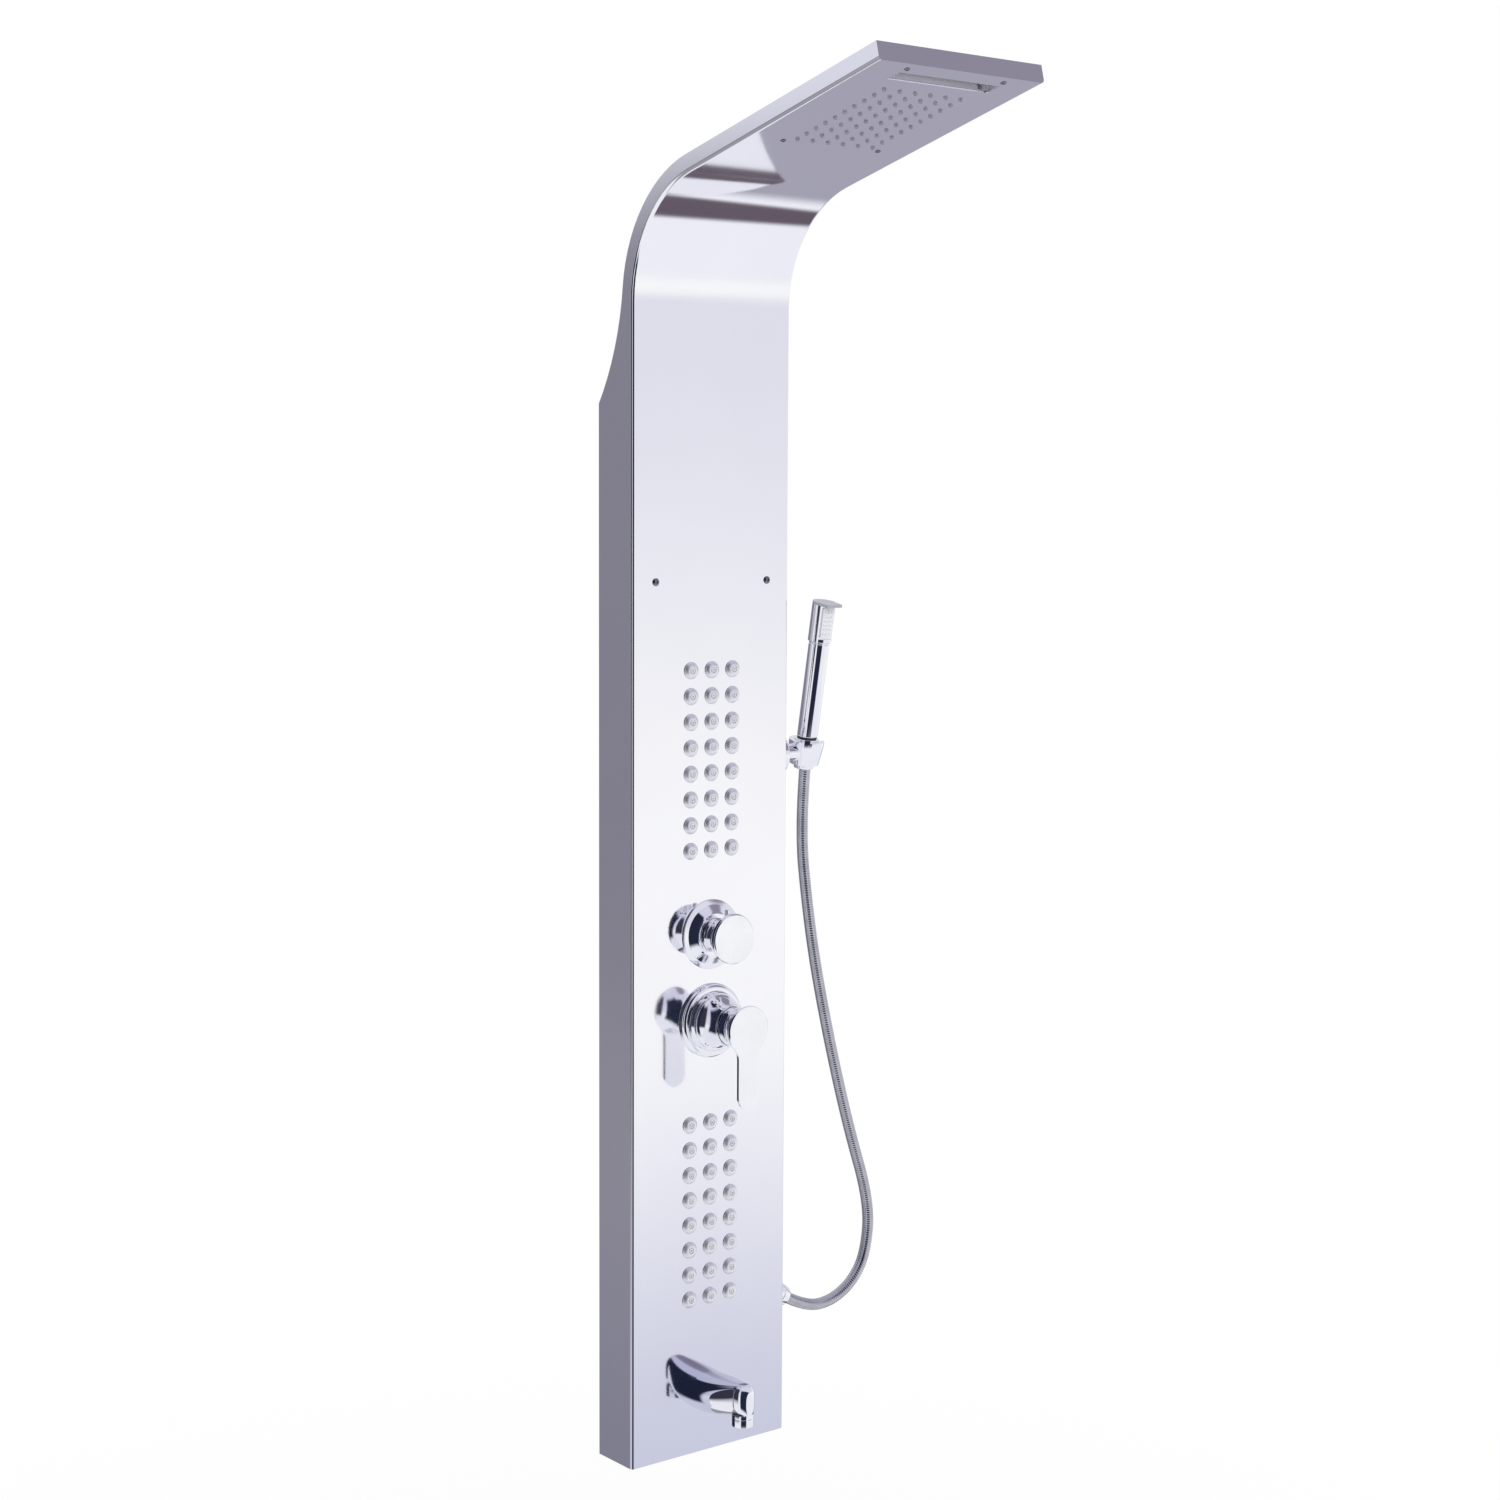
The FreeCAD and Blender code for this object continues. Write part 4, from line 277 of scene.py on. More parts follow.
floor_tree.links.new(
    math_node(floor_tree, "MAXIMUM", floor_seen.outputs["Is Glossy Ray"], from_below), to_mirror.inputs[0]
)
floor_tree.links.new(to_camera.outputs[0], to_mirror.inputs[1])
floor_tree.links.new(see_through.outputs[0], to_mirror.inputs[2])
floor_out = add_node(floor_tree.nodes, "ShaderNodeOutputMaterial")
floor_tree.links.new(to_mirror.outputs[0], floor_out.inputs["Surface"])
floor_mesh.materials.append(floor_paint)
floor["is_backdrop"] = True

# ---- The folded panel and its cover -----------------------------------------------------
# One sheet of stainless steel, folded to a shallow tray and rolled over into the arm, then
# polished to a near mirror along its length. The cover of the same sheet closes the arm.


def new_group(name, inputs, outputs):
    """A shader node group with named inputs and outputs, and its two end nodes."""
    tree = bpy.data.node_groups.new(name, "ShaderNodeTree")
    for label, kind, value in inputs:
        socket = tree.interface.new_socket(name=label, in_out="INPUT", socket_type=kind)
        socket.default_value = value
    for label, kind in outputs:
        tree.interface.new_socket(name=label, in_out="OUTPUT", socket_type=kind)
    return tree, tree.nodes.new("NodeGroupInput"), tree.nodes.new("NodeGroupOutput")


def polishing_marks():
    """Fine lines left by polishing, and the broad cloudiness of a wiped surface."""
    tree, start, end = new_group(
        "polishing_marks",
        [
            ("Line Scale", "NodeSocketVector", (900.0, 900.0, 12.0)),
            ("Cloud Scale", "NodeSocketFloat", 6.0),
        ],
        [("Lines", "NodeSocketFloat"), ("Clouds", "NodeSocketFloat")],
    )
    place = tree.nodes.new("ShaderNodeTexCoord").outputs["Object"]
    stretch = add_node(tree.nodes, "ShaderNodeVectorMath", operation="MULTIPLY")
    tree.links.new(place, stretch.inputs[0])
    tree.links.new(start.outputs["Line Scale"], stretch.inputs[1])
    lines = add_node(tree.nodes, "ShaderNodeTexNoise", Scale=1.0, Detail=3.0, Roughness=0.6)
    tree.links.new(stretch.outputs[0], lines.inputs["Vector"])
    clouds = add_node(tree.nodes, "ShaderNodeTexNoise", Detail=4.0, Roughness=0.55)
    tree.links.new(place, clouds.inputs["Vector"])
    tree.links.new(start.outputs["Cloud Scale"], clouds.inputs["Scale"])
    tree.links.new(lines.outputs[0], end.inputs["Lines"])
    tree.links.new(clouds.outputs[0], end.inputs["Clouds"])
    return tree


marks_group = polishing_marks()


def finish_of(name, color, second_color, roughness, metallic, line_scale, cloud_scale, bump):
    """A finish whose colour, gloss and bump all follow the polishing or moulding marks."""
    made = bpy.data.materials.new(name)
    made.use_nodes = True
    tree = made.node_tree
    shader = tree.nodes["Principled BSDF"]
    shader.inputs["Metallic"].default_value = metallic
    marks = tree.nodes.new("ShaderNodeGroup")
    marks.node_tree = marks_group
    marks.inputs["Line Scale"].default_value = line_scale
    marks.inputs["Cloud Scale"].default_value = cloud_scale
    mixed = math_node(
        tree,
        "ADD",
        math_node(tree, "MULTIPLY", marks.outputs["Lines"], 0.5),
        math_node(tree, "MULTIPLY", smooth_step(tree, marks.outputs["Clouds"], 0.3, 0.7), 0.5),
    )
    tree.links.new(mix_colors(tree, mixed, color, second_color), shader.inputs["Base Color"])
    gloss = add_node(tree.nodes, "ShaderNodeMapRange", To_Min=roughness[0], To_Max=roughness[1])
    tree.links.new(mixed, gloss.inputs["Value"])
    tree.links.new(gloss.outputs["Result"], shader.inputs["Roughness"])
    relief = add_node(tree.nodes, "ShaderNodeBump", Strength=bump, Distance=0.0002)
    tree.links.new(marks.outputs["Lines"], relief.inputs["Height"])
    tree.links.new(relief.outputs[0], shader.inputs["Normal"])
    return made


panel_finish = finish_of(
    "polished_panel",
    (0.90, 0.90, 0.935),
    (0.95, 0.95, 0.975),
    roughness=(0.045, 0.10),
    metallic=1.0,
    line_scale=(1400.0, 1400.0, 9.0),
    cloud_scale=5.0,
    bump=0.02,
)


def shaded_low(finish, low, high, painted_shade):
    """Paints shade on the finish: multiplies its colour by a darker shade colour that fades out between
    two heights.
    """
    tree = finish.node_tree
    shader = tree.nodes["Principled BSDF"]
    plain_color = shader.inputs["Base Color"].links[0].from_socket
    place = add_node(tree.nodes, "ShaderNodeSeparateXYZ")
    tree.links.new(add_node(tree.nodes, "ShaderNodeTexCoord").outputs["Object"], place.inputs[0])
    fade = mix_colors(tree, smooth_step(tree, place.outputs["Z"], low, high), painted_shade, (1.0, 1.0, 1.0))
    product = add_node(tree.nodes, "ShaderNodeMix", data_type="RGBA", blend_type="MULTIPLY")
    product.inputs[0].default_value = 1.0
    tree.links.new(plain_color, product.inputs[6])
    tree.links.new(fade, product.inputs[7])
    tree.links.new(product.outputs[2], shader.inputs["Base Color"])


# Painted shade: the panel's colour is darker and bluer low down, and fades back to plain between the two
# heights.
shaded_low(panel_finish, low=-0.10, high=0.48, painted_shade=(0.655, 0.67, 0.775))


def smooth_cad(node, finish, split=32.0):
    """Keeps a CAD node's own mesh, and shades its curved faces smooth up to its edges."""
    thing = nodes[node]
    mesh = thing.data
    if "custom_normal" in mesh.attributes:
        mesh.attributes.remove(mesh.attributes["custom_normal"])
    for face in mesh.polygons:
        face.use_smooth = True
        face.material_index = 0
    mesh.materials.clear()
    mesh.materials.append(finish)
    weld = thing.modifiers.new("weld", "WELD")
    weld.merge_threshold = 0.000002
    edges = thing.modifiers.new("edges", "EDGE_SPLIT")
    edges.split_angle = math.radians(split)
    even = thing.modifiers.new("even", "WEIGHTED_NORMAL")
    even.mode = "FACE_AREA"
    even.weight = 100
    even.keep_sharp = True


smooth_cad("front_panel", panel_finish, split=24.0)
smooth_cad("top_cover", panel_finish, split=24.0)

# ---- The rain and waterfall outlets -----------------------------------------------------
# Under the arm sit soft rubber nozzles that come through the sheet, and a wide slot with a
# bright folded ramp that the waterfall runs over.
ramp_finish = finish_of(
    "ramp_steel",
    (0.80, 0.78, 0.90),
    (0.85, 0.83, 0.95),
    roughness=(0.26, 0.36),
    metallic=0.7,
    line_scale=(40.0, 900.0, 900.0),
    cloud_scale=30.0,
    bump=0.0,
)
smooth_cad("waterfall_ramp", ramp_finish)
rain_rubber = finish_of(
    "rain_rubber",
    (0.38, 0.37, 0.43),
    (0.46, 0.45, 0.51),
    roughness=(0.45, 0.6),
    metallic=0.0,
    line_scale=(900.0, 900.0, 900.0),
    cloud_scale=80.0,
    bump=0.1,
)
smooth_cad("rain_nozzle_mat", rain_rubber)

# ---- The body jets ----------------------------------------------------------------------
# Two groups of 24 jets stand in the panel. Each is a domed, satin-plated brass bezel, screwed
# through the sheet, round a soft grey tip with one small hole.


def rounded(outline, steps=5, most_of_a_side=0.49):
    """The outline (across, up, corner radius, flats) with its corners turned into small arcs."""
    made = []
    for i, corner in enumerate(outline):
        across, up, radius, flats = (*corner, 0, 0)[:4]
        here = Vector((across, up))
        if not radius:
            made.append((across, up, flats))
            continue
        back = Vector(outline[i - 1][:2]) - here
        ahead = Vector(outline[(i + 1) % len(outline)][:2]) - here
        half = back.angle(ahead) / 2
        longest = most_of_a_side * min(back.length, ahead.length)
        run = min(radius / math.tan(half), longest)
        radius = run * math.tan(half)
        middle = here + (back.normalized() + ahead.normalized()).normalized() * radius / math.sin(half)
        start, end = (here + side.normalized() * run - middle for side in (back, ahead))
        first = math.atan2(start.y, start.x)
        sweep = (math.atan2(end.y, end.x) - first + math.pi) % (2 * math.pi) - math.pi
        for k in range(steps + 1):
            angle = first + sweep * k / steps
            made.append((middle.x + radius * math.cos(angle), middle.y + radius * math.sin(angle), flats))
    return made


def add_turned(bm, outline, place=(0, 0, 0), axis=(0, 0, 1), sides=96):
    """Turns a closed outline in millimetres about the axis. Its corners may have flats."""
    aim = Vector((0, 0, 1)).rotation_difference(Vector(axis)).to_matrix()
    rings = []
    for across, up, flats in rounded(outline):
        on_axis = across < 1e-6
        count = 1 if on_axis else sides
        ring = []
        for k in range(count):
            angle = 2 * math.pi * k / count
            reach = across
            if flats:
                step = 2 * math.pi / flats
                reach = across / math.cos((angle + step / 2) % step - step / 2)
            spot = Vector((reach * math.cos(angle), reach * math.sin(angle), up)) * 0.001
            ring.append(bm.verts.new(Vector(place) + aim @ spot))
        rings.append(ring)
    for a, b in zip(rings, rings[1:] + rings[:1]):
        for k in range(sides):
            corners = (a[k % len(a)], a[(k + 1) % len(a)], b[(k + 1) % len(b)], b[k % len(b)])
            corners = list(dict.fromkeys(corners))
            if len(corners) > 2:
                bm.faces.new(corners)


def finished(name, bm, finish, sharp=38.0):
    """An object of the mesh, shaded smooth up to its sharp edges."""
    bmesh.ops.recalc_face_normals(bm, faces=bm.faces)
    mesh = bpy.data.meshes.new(name)
    bm.to_mesh(mesh)
    bm.free()
    for face in mesh.polygons:
        face.use_smooth = True
    mesh.set_sharp_from_angle(angle=math.radians(sharp))
    mesh.materials.append(finish)
    thing = bpy.data.objects.new(name, mesh)
    bpy.context.scene.collection.objects.link(thing)
    return thing


def stands_for(thing, node, body="column"):
    """The piece is shown in place of its CAD node, and moves with the node's body."""
    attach(thing, body)
    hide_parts(node)
    return thing


def turned_piece(node, outline, place, axis, finish, body="column", sides=96):
    """A turned object in place of the CAD node. Its outline is in millimetres."""
    bm = bmesh.new()
    add_turned(bm, outline, place, axis, sides)
    return stands_for(finished(f"{node}_turned", bm, finish), node, body)


def grid_of_pieces():
    """Geometry nodes: copies of one piece over a grid, turned and put in place together."""
    tree = bpy.data.node_groups.new("grid_of_pieces", "GeometryNodeTree")
    tree.is_modifier = True
    for label, kind in (
        ("Geometry", "NodeSocketGeometry"),
        ("Piece", "NodeSocketObject"),
        ("Finish", "NodeSocketMaterial"),
        ("Columns", "NodeSocketInt"),
        ("Rows", "NodeSocketInt"),
        ("Pitch Across", "NodeSocketFloat"),
        ("Pitch Along", "NodeSocketFloat"),
        ("Turn", "NodeSocketVector"),
        ("Place", "NodeSocketVector"),
    ):
        tree.interface.new_socket(name=label, in_out="INPUT", socket_type=kind)
    tree.interface.new_socket(name="Geometry", in_out="OUTPUT", socket_type="NodeSocketGeometry")
    start, end = tree.nodes.new("NodeGroupInput"), tree.nodes.new("NodeGroupOutput")
    grid = tree.nodes.new("GeometryNodeMeshGrid")
    for count, pitch, size in (("Columns", "Pitch Across", "Size X"), ("Rows", "Pitch Along", "Size Y")):
        gaps = math_node(tree, "SUBTRACT", start.outputs[count], 1.0)
        tree.links.new(math_node(tree, "MULTIPLY", gaps, start.outputs[pitch]), grid.inputs[size])
    tree.links.new(start.outputs["Columns"], grid.inputs["Vertices X"])
    tree.links.new(start.outputs["Rows"], grid.inputs["Vertices Y"])
    piece = tree.nodes.new("GeometryNodeObjectInfo")
    tree.links.new(start.outputs["Piece"], piece.inputs["Object"])
    copies = tree.nodes.new("GeometryNodeInstanceOnPoints")
    tree.links.new(grid.outputs["Mesh"], copies.inputs["Points"])
    tree.links.new(piece.outputs["Geometry"], copies.inputs["Instance"])
    real = tree.nodes.new("GeometryNodeRealizeInstances")
    tree.links.new(copies.outputs[0], real.inputs[0])
    turned = tree.nodes.new("FunctionNodeEulerToRotation")
    tree.links.new(start.outputs["Turn"], turned.inputs[0])
    moved = tree.nodes.new("GeometryNodeTransform")
    tree.links.new(real.outputs[0], moved.inputs["Geometry"])
    tree.links.new(turned.outputs[0], moved.inputs["Rotation"])
    tree.links.new(start.outputs["Place"], moved.inputs["Translation"])
    painted = tree.nodes.new("GeometryNodeSetMaterial")
    tree.links.new(moved.outputs[0], painted.inputs["Geometry"])
    tree.links.new(start.outputs["Finish"], painted.inputs["Material"])
    tree.links.new(painted.outputs[0], end.inputs["Geometry"])
    return tree


grid_tree = grid_of_pieces()


def repeated(name, outline, columns, rows, pitch_across, pitch_along, turn, place, finish):
    """One mesh of turned pieces over a grid. Their outline is in millimetres."""
    bm = bmesh.new()
    add_turned(bm, outline, sides=48)
    master = finished(f"{name}_master", bm, finish)
    host = bpy.data.objects.new(f"{name}_host", bpy.data.meshes.new(f"{name}_host"))
    bpy.context.scene.collection.objects.link(host)
    layout = host.modifiers.new("layout", "NODES")
    layout.node_group = grid_tree
    values = {
        "Piece": master,
        "Finish": finish,
        "Columns": columns,
        "Rows": rows,
        "Pitch Across": pitch_across,
        "Pitch Along": pitch_along,
        "Turn": turn,
        "Place": place,
    }
    for item in grid_tree.interface.items_tree:
        if item.in_out == "INPUT" and item.name in values:
            layout[item.identifier] = values[item.name]
    bpy.context.view_layer.update()
    ready = host.evaluated_get(bpy.context.evaluated_depsgraph_get())
    thing = bpy.data.objects.new(name, bpy.data.meshes.new_from_object(ready))
    bpy.context.scene.collection.objects.link(thing)
    bpy.data.objects.remove(host)
    bpy.data.objects.remove(master)
    return thing


satin = finish_of(
    "satin_plate",
    (0.87, 0.87, 0.90),
    (0.92, 0.92, 0.95),
    roughness=(0.42, 0.52),
    metallic=1.0,
    line_scale=(420.0, 420.0, 420.0),
    cloud_scale=60.0,
    bump=0.03,
)
tip_rubber = finish_of(
    "tip_rubber",
    (0.70, 0.70, 0.74),
    (0.78, 0.78, 0.82),
    roughness=(0.4, 0.55),
    metallic=0.0,
    line_scale=(900.0, 900.0, 900.0),
    cloud_scale=80.0,
    bump=0.1,
)
dome_rim, dome_run, dome_foot, dome_rise = 8.6, 4.7, 1.0, 2.4
dome = [
    (dome_rim - dome_run * t, dome_foot + dome_rise * (1 - (1 - t) ** 2))
    for t in (k / 7 for k in range(8))
]
bezel_outline = [
    (2.6, -6.4),
    (6.0, -6.4, 0.3),
    (6.0, 0.0),
    (8.8, 0.0),
    (8.8, 0.7, 0.25),
    *dome,
    (3.3, 3.4, 0.25),
    (3.1, 2.7, 0.1),
    (2.6, 2.7),
]
tip_outline = [
    (0.7, -6.4),
    (2.55, -6.4),
    (2.55, 3.7, 0.8),
    (1.5, 4.4, 0.3),
    (1.0, 4.1, 0.1),
    (0.7, 3.2),
]
front_face = -0.058
facing_front = (math.radians(90.0), 0.0, 0.0)
jet_rows, row_pitch = 8, 0.02645
for group, lowest_row in (("upper", 0.63645), ("lower", 0.1656)):
    middle = (0.0, front_face, lowest_row + (jet_rows - 1) / 2 * row_pitch)
    for kind, outline, finish, slot_name in (
        ("bezels", bezel_outline, satin, "chrome"),
        ("tips", tip_outline, tip_rubber, "nozzle_rubber"),
    ):
        node = f"{group}_jet_{kind}"
        jets = repeated(
            f"{node}_set",
            outline,
            columns=3,
            rows=jet_rows,
            pitch_across=0.0265,
            pitch_along=row_pitch,
            turn=facing_front,
            place=middle,
            finish=finish,
        )
        stands_for(jets, node)

# ---- Screws -----------------------------------------------------------------------------
# Two screws hold the panel to its bracket and four hold the water chamber to the arm. They
# are dark polished steel with domed heads and a hexagon recess.
dark_steel = finish_of(
    "screw_steel",
    (0.20, 0.18, 0.22),
    (0.30, 0.28, 0.32),
    roughness=(0.18, 0.3),
    metallic=1.0,
    line_scale=(900.0, 900.0, 900.0),
    cloud_scale=90.0,
    bump=0.05,
)


def screw_outline(head, shank, reach, dome_height, across_flats):
    """Half a domed screw in millimetres: its head and shank are radii, and it has a hex recess."""
    return [
        (0.0, -reach),
        (shank - 0.3, -reach, 0.2),
        (shank, -reach + 0.6),
        (shank, 0.0),
        (head, 0.0, 0.1),
        (head, 0.35 * dome_height, 0.3),
        (0.62 * head, 0.85 * dome_height, 1.2),
        (0.5 * across_flats + 0.3, dome_height, 0.2),
        (0.5 * across_flats, dome_height - 0.2, 0, 6),
        (0.5 * across_flats, 0.35 * dome_height, 0, 6),
        (0.0, 0.3 * dome_height),
    ]


fixings = repeated(
    "fixing_screw_pair",
    screw_outline(head=4.0, shank=2.0, reach=5.2, dome_height=1.8, across_flats=3.0),
    columns=2,
    rows=1,
    pitch_across=0.1422,
    pitch_along=0.0,
    turn=facing_front,
    place=(0.0, front_face, 0.912),
    finish=dark_steel,
)
stands_for(fixings, "fixing_screws")
arm_rise = math.radians(14.2)
arm_way = Vector((0.0, -math.cos(arm_rise), math.sin(arm_rise)))
arm_start = Vector((0.0, -0.14856, 1.30533))
screws_middle = arm_start + arm_way * 0.18435
arm_screws = repeated(
    "arm_screw_set",
    screw_outline(head=3.0, shank=1.5, reach=10.9, dome_height=1.2, across_flats=2.2),
    columns=2,
    rows=2,
    pitch_across=0.117,
    pitch_along=0.1781,
    turn=(math.pi - arm_rise, 0.0, 0.0),
    place=screws_middle,
    finish=dark_steel,
)
stands_for(arm_screws, "head_screws")

# ---- The diverter -----------------------------------------------------------------------
# A flared knob of bright chromed brass chooses where the water goes. It turns over a dished
# cover flange, and a small pin in its waist is the pointer.
chrome = finish_of(
    "chrome_plate",
    (0.86, 0.87, 0.90),
    (0.92, 0.93, 0.96),
    roughness=(0.02, 0.06),
    metallic=1.0,
    line_scale=(300.0, 300.0, 300.0),
    cloud_scale=40.0,
    bump=0.006,
)
outward, upward, downward = (0.0, -1.0, 0.0), (0.0, 0.0, 1.0), (0.0, 0.0, -1.0)
diverter_place = (0.0, front_face, 0.5483)
flange_outline = [
    (17.5, 0.0),
    (36.3, 0.0, 0.15),
    (36.3, 1.6, 0.7),
    (31.0, 2.9, 1.5),
    (24.0, 7.4, 1.5),
    (22.4, 8.3, 0.6),
    (17.5, 8.6, 0.3),
]
turned_piece("diverter_flange", flange_outline, diverter_place, outward, chrome)
knob_waist, knob_flare = 17.4, 8.6
flare_start, flare_run = 15.0, 20.8
flare = [
    (knob_waist + knob_flare * (k / 12) ** 2.8, flare_start + flare_run * k / 12)
    for k in range(13)
]
knob_outline = [
    (0.0, 30.8),
    (5.05, 30.8),
    (5.05, 9.3, 0.3),
    (18.2, 9.3, 0.4),
    (18.0, 12.0, 0.8),
    *flare,
    (26.0, 39.0, 0.9),
    (24.6, 39.8, 0.4),
    (0.0, 39.8),
]
turned_piece(
    "diverter_knob", knob_outline, diverter_place, outward, chrome, "diverter_knob", sides=128
)
pin_outline = [(0.0, 0.0), (2.3, 0.0, 0.2), (2.3, 16.8, 1.2), (0.0, 16.8)]
pin_place = (0.0, -0.085, 0.5605)
turned_piece(
    "diverter_knob_pin", pin_outline, pin_place, upward, chrome, "diverter_knob", sides=48
)

# ---- The mixer --------------------------------------------------------------------------
# A stepped cover flange and a waisted bonnet of chromed brass go over the mixer's cartridge.
# The flat lever hangs from a ball in the bonnet's mouth. It lifts and turns.
mixer_place = (0.0, front_face, 0.458)
shoulder_middle, shoulder_foot = 34.0, 2.0
shoulder_width, shoulder_height = 4.8, 4.0
shoulder = [
    (shoulder_middle + shoulder_width * math.cos(angle), shoulder_foot + shoulder_height * math.sin(angle))
    for angle in (math.radians(degrees) for degrees in range(0, 91, 15))
]
mixer_flange_outline = [
    (22.3, 0.0),
    (38.8, 0.0, 0.15),
    *shoulder,
    (31.5, 6.0, 0.3),
    (31.5, 8.5, 0.4),
    (30.0, 12.0, 0.6),
    (22.3, 12.0, 0.2),
]
turned_piece("mixer_flange", mixer_flange_outline, mixer_place, outward, chrome)
bonnet_waist, bonnet_flare = 22.0, 4.4
waist_start, waist_run = 15.8, 21.0
waist = [
    (bonnet_waist + bonnet_flare * (1 - k / 12) ** 2.4, waist_start + waist_run * k / 12)
    for k in range(13)
]
bonnet_outline = [
    (19.0, 12.0),
    (29.0, 12.0, 0.2),
    (29.0, 14.6, 0.7),
    *waist,
    (21.9, 38.0, 0.5),
    (20.51, 38.0),
    (20.02, 36.0),
    (19.51, 34.5),
    (19.0, 33.3),
]
turned_piece("mixer_bonnet", bonnet_outline, mixer_place, outward, chrome)
smooth_cad("mixer_lever", chrome)

# ---- The spout --------------------------------------------------------------------------
# A cast spout, broad at its root and drawn out to a round nose, then chromed. A grooved
# aerator with a ringed mouth is screwed up into its outlet.
nose_radius = 13.0
nose_start = 56.0
root_half_width, narrowing = 27.0, 14.0
underside, underside_rise = 42.5, 11.0
crown, crown_rise, nose_droop = 83.5, 2.5, 6.0
root_fullness, fullness_gain = 2.1, 0.6


def spout_section(reach):
    """Half width, bottom, top and fullness of the spout's section that far from the panel."""
    share = min(reach / nose_start, 1.0)
    past = max(reach - nose_start, 0.0)
    half_width = root_half_width - narrowing * share**2.2
    if past:
        half_width = math.sqrt(max(nose_radius**2 - past**2, 0.0))
    low = underside + underside_rise * share**1.6
    high = crown + crown_rise * share**1.6 - nose_droop * (past / nose_radius) ** 2
    return half_width, low, high, root_fullness + fullness_gain * share


bm = bmesh.new()
spout_sides = 72
reaches = [nose_start * k / 20 for k in range(20)]
reaches += [nose_start + nose_radius * math.sin(math.radians(a)) for a in range(0, 91, 6)]
rings = []
for reach in reaches:
    half_width, low, high, fullness = spout_section(reach)
    middle, half_height = (low + high) / 2, (high - low) / 2
    ring = []
    for k in range(spout_sides):
        angle = 2 * math.pi * k / spout_sides
        across = half_width * math.copysign(abs(math.cos(angle)) ** (2 / fullness), math.cos(angle))
        up = half_height * math.copysign(abs(math.sin(angle)) ** (2 / fullness), math.sin(angle))
        ring.append(bm.verts.new((across * 0.001, front_face - reach * 0.001, (middle + up) * 0.001)))
    rings.append(ring)
for a, b in zip(rings, rings[1:]):
    for k in range(spout_sides):
        after = (k + 1) % spout_sides
        bm.faces.new((a[k], a[after], b[after], b[k]))
bm.faces.new(rings[0])
bmesh.ops.remove_doubles(bm, verts=bm.verts, dist=0.00001)
foot_outline = [(0.0, -14.0), (10.5, -14.0, 0.4), (10.5, 1.0), (0.0, 1.0)]
foot_place = (0.0, front_face, 0.0655)
add_turned(bm, foot_outline, foot_place, outward)
stands_for(finished("spout_body", bm, chrome), "spout")
aerator_outline = [
    (0.0, 0.0),
    (11.6, 0.0, 0.3),
    (11.6, 4.0, 0.2),
    (11.3, 4.4, 0.1),
    (11.6, 4.8, 0.1),
    (11.6, 13.0, 0.7),
    (10.0, 13.0, 0.4),
    (9.6, 10.5, 0.2),
    (7.2, 10.5, 0.2),
    (6.8, 11.5, 0.3),
    (5.6, 11.5, 0.3),
    (5.2, 10.5, 0.2),
    (3.2, 10.5, 0.2),
    (2.8, 11.5, 0.3),
    (0.0, 11.5),
]
aerator_place = (0.0, -0.115, 0.055)
turned_piece("spout_aerator", aerator_outline, aerator_place, downward, chrome)

# ---- The holder and the handset ---------------------------------------------------------
# A chromed socket tips on a round base at the panel's right side. The slim handset stands in
# it: a turned handle, a square head with a pale nozzle plate, and a grey end cap.
base_outline = [(2.55, 0.0), (23.0, 0.0, 0.15), (23.0, 10.0, 3.6), (2.55, 10.0, 0.3)]
base_place, sideways_out = (0.100, -0.030, 0.727), (1.0, 0.0, 0.0)
turned_piece("holder_base", base_outline, base_place, sideways_out, chrome)
smooth_cad("holder_socket", chrome)
handle_lean = math.radians(10.5)
handle_axis = (0.0, -math.sin(handle_lean), math.cos(handle_lean))
handle_place = (0.1475, -0.0331, 0.74372)
handle_outline = [
    (7.4, 0.0),
    (10.2, 0.0, 0.3),
    (11.0, 1.2, 0.6),
    (11.0, 101.4, 0.3),
    (10.6, 101.8, 0.2),
    (10.6, 102.4, 0.2),
    (11.0, 102.8, 0.3),
    (11.0, 104.0, 0.2),
    (0.0, 104.0),
    (0.0, 80.0),
    (7.4, 80.0),
]
turned_piece("handset_handle", handle_outline, handle_place, handle_axis, chrome, "handset")
smooth_cad("handset_head", chrome)
end_plastic = finish_of(
    "end_plastic",
    (0.42, 0.43, 0.47),
    (0.46, 0.47, 0.51),
    roughness=(0.18, 0.26),
    metallic=0.0,
    line_scale=(600.0, 600.0, 600.0),
    cloud_scale=50.0,
    bump=0.02,
)
smooth_cad("handset_cap", end_plastic)
plate_plastic = finish_of(
    "plate_plastic",
    (0.84, 0.84, 0.88),
    (0.90, 0.90, 0.93),
    roughness=(0.22, 0.34),
    metallic=0.0,
    line_scale=(600.0, 600.0, 600.0),
    cloud_scale=50.0,
    bump=0.03,
)
smooth_cad("handset_spray_plate", plate_plastic)
upper_nut_outline = [
    (6.55, 0.0),
    (10.3, 0.0, 0.9),
    (10.7, 5.0, 0.3),
    (10.4, 5.5, 0.2),
    (10.5, 6.4, 0.2),
    (10.9, 6.9, 0.3),
    (12.6, 29.6, 0.4),
    (12.85, 33.0, 0.5),
    (6.55, 33.0),
]
upper_nut_place = (0.1475, -0.02672, 0.7093)
upper_nut = turned_piece(
    "hose_upper_nut", upper_nut_outline, upper_nut_place, handle_axis, chrome, "handset"
)

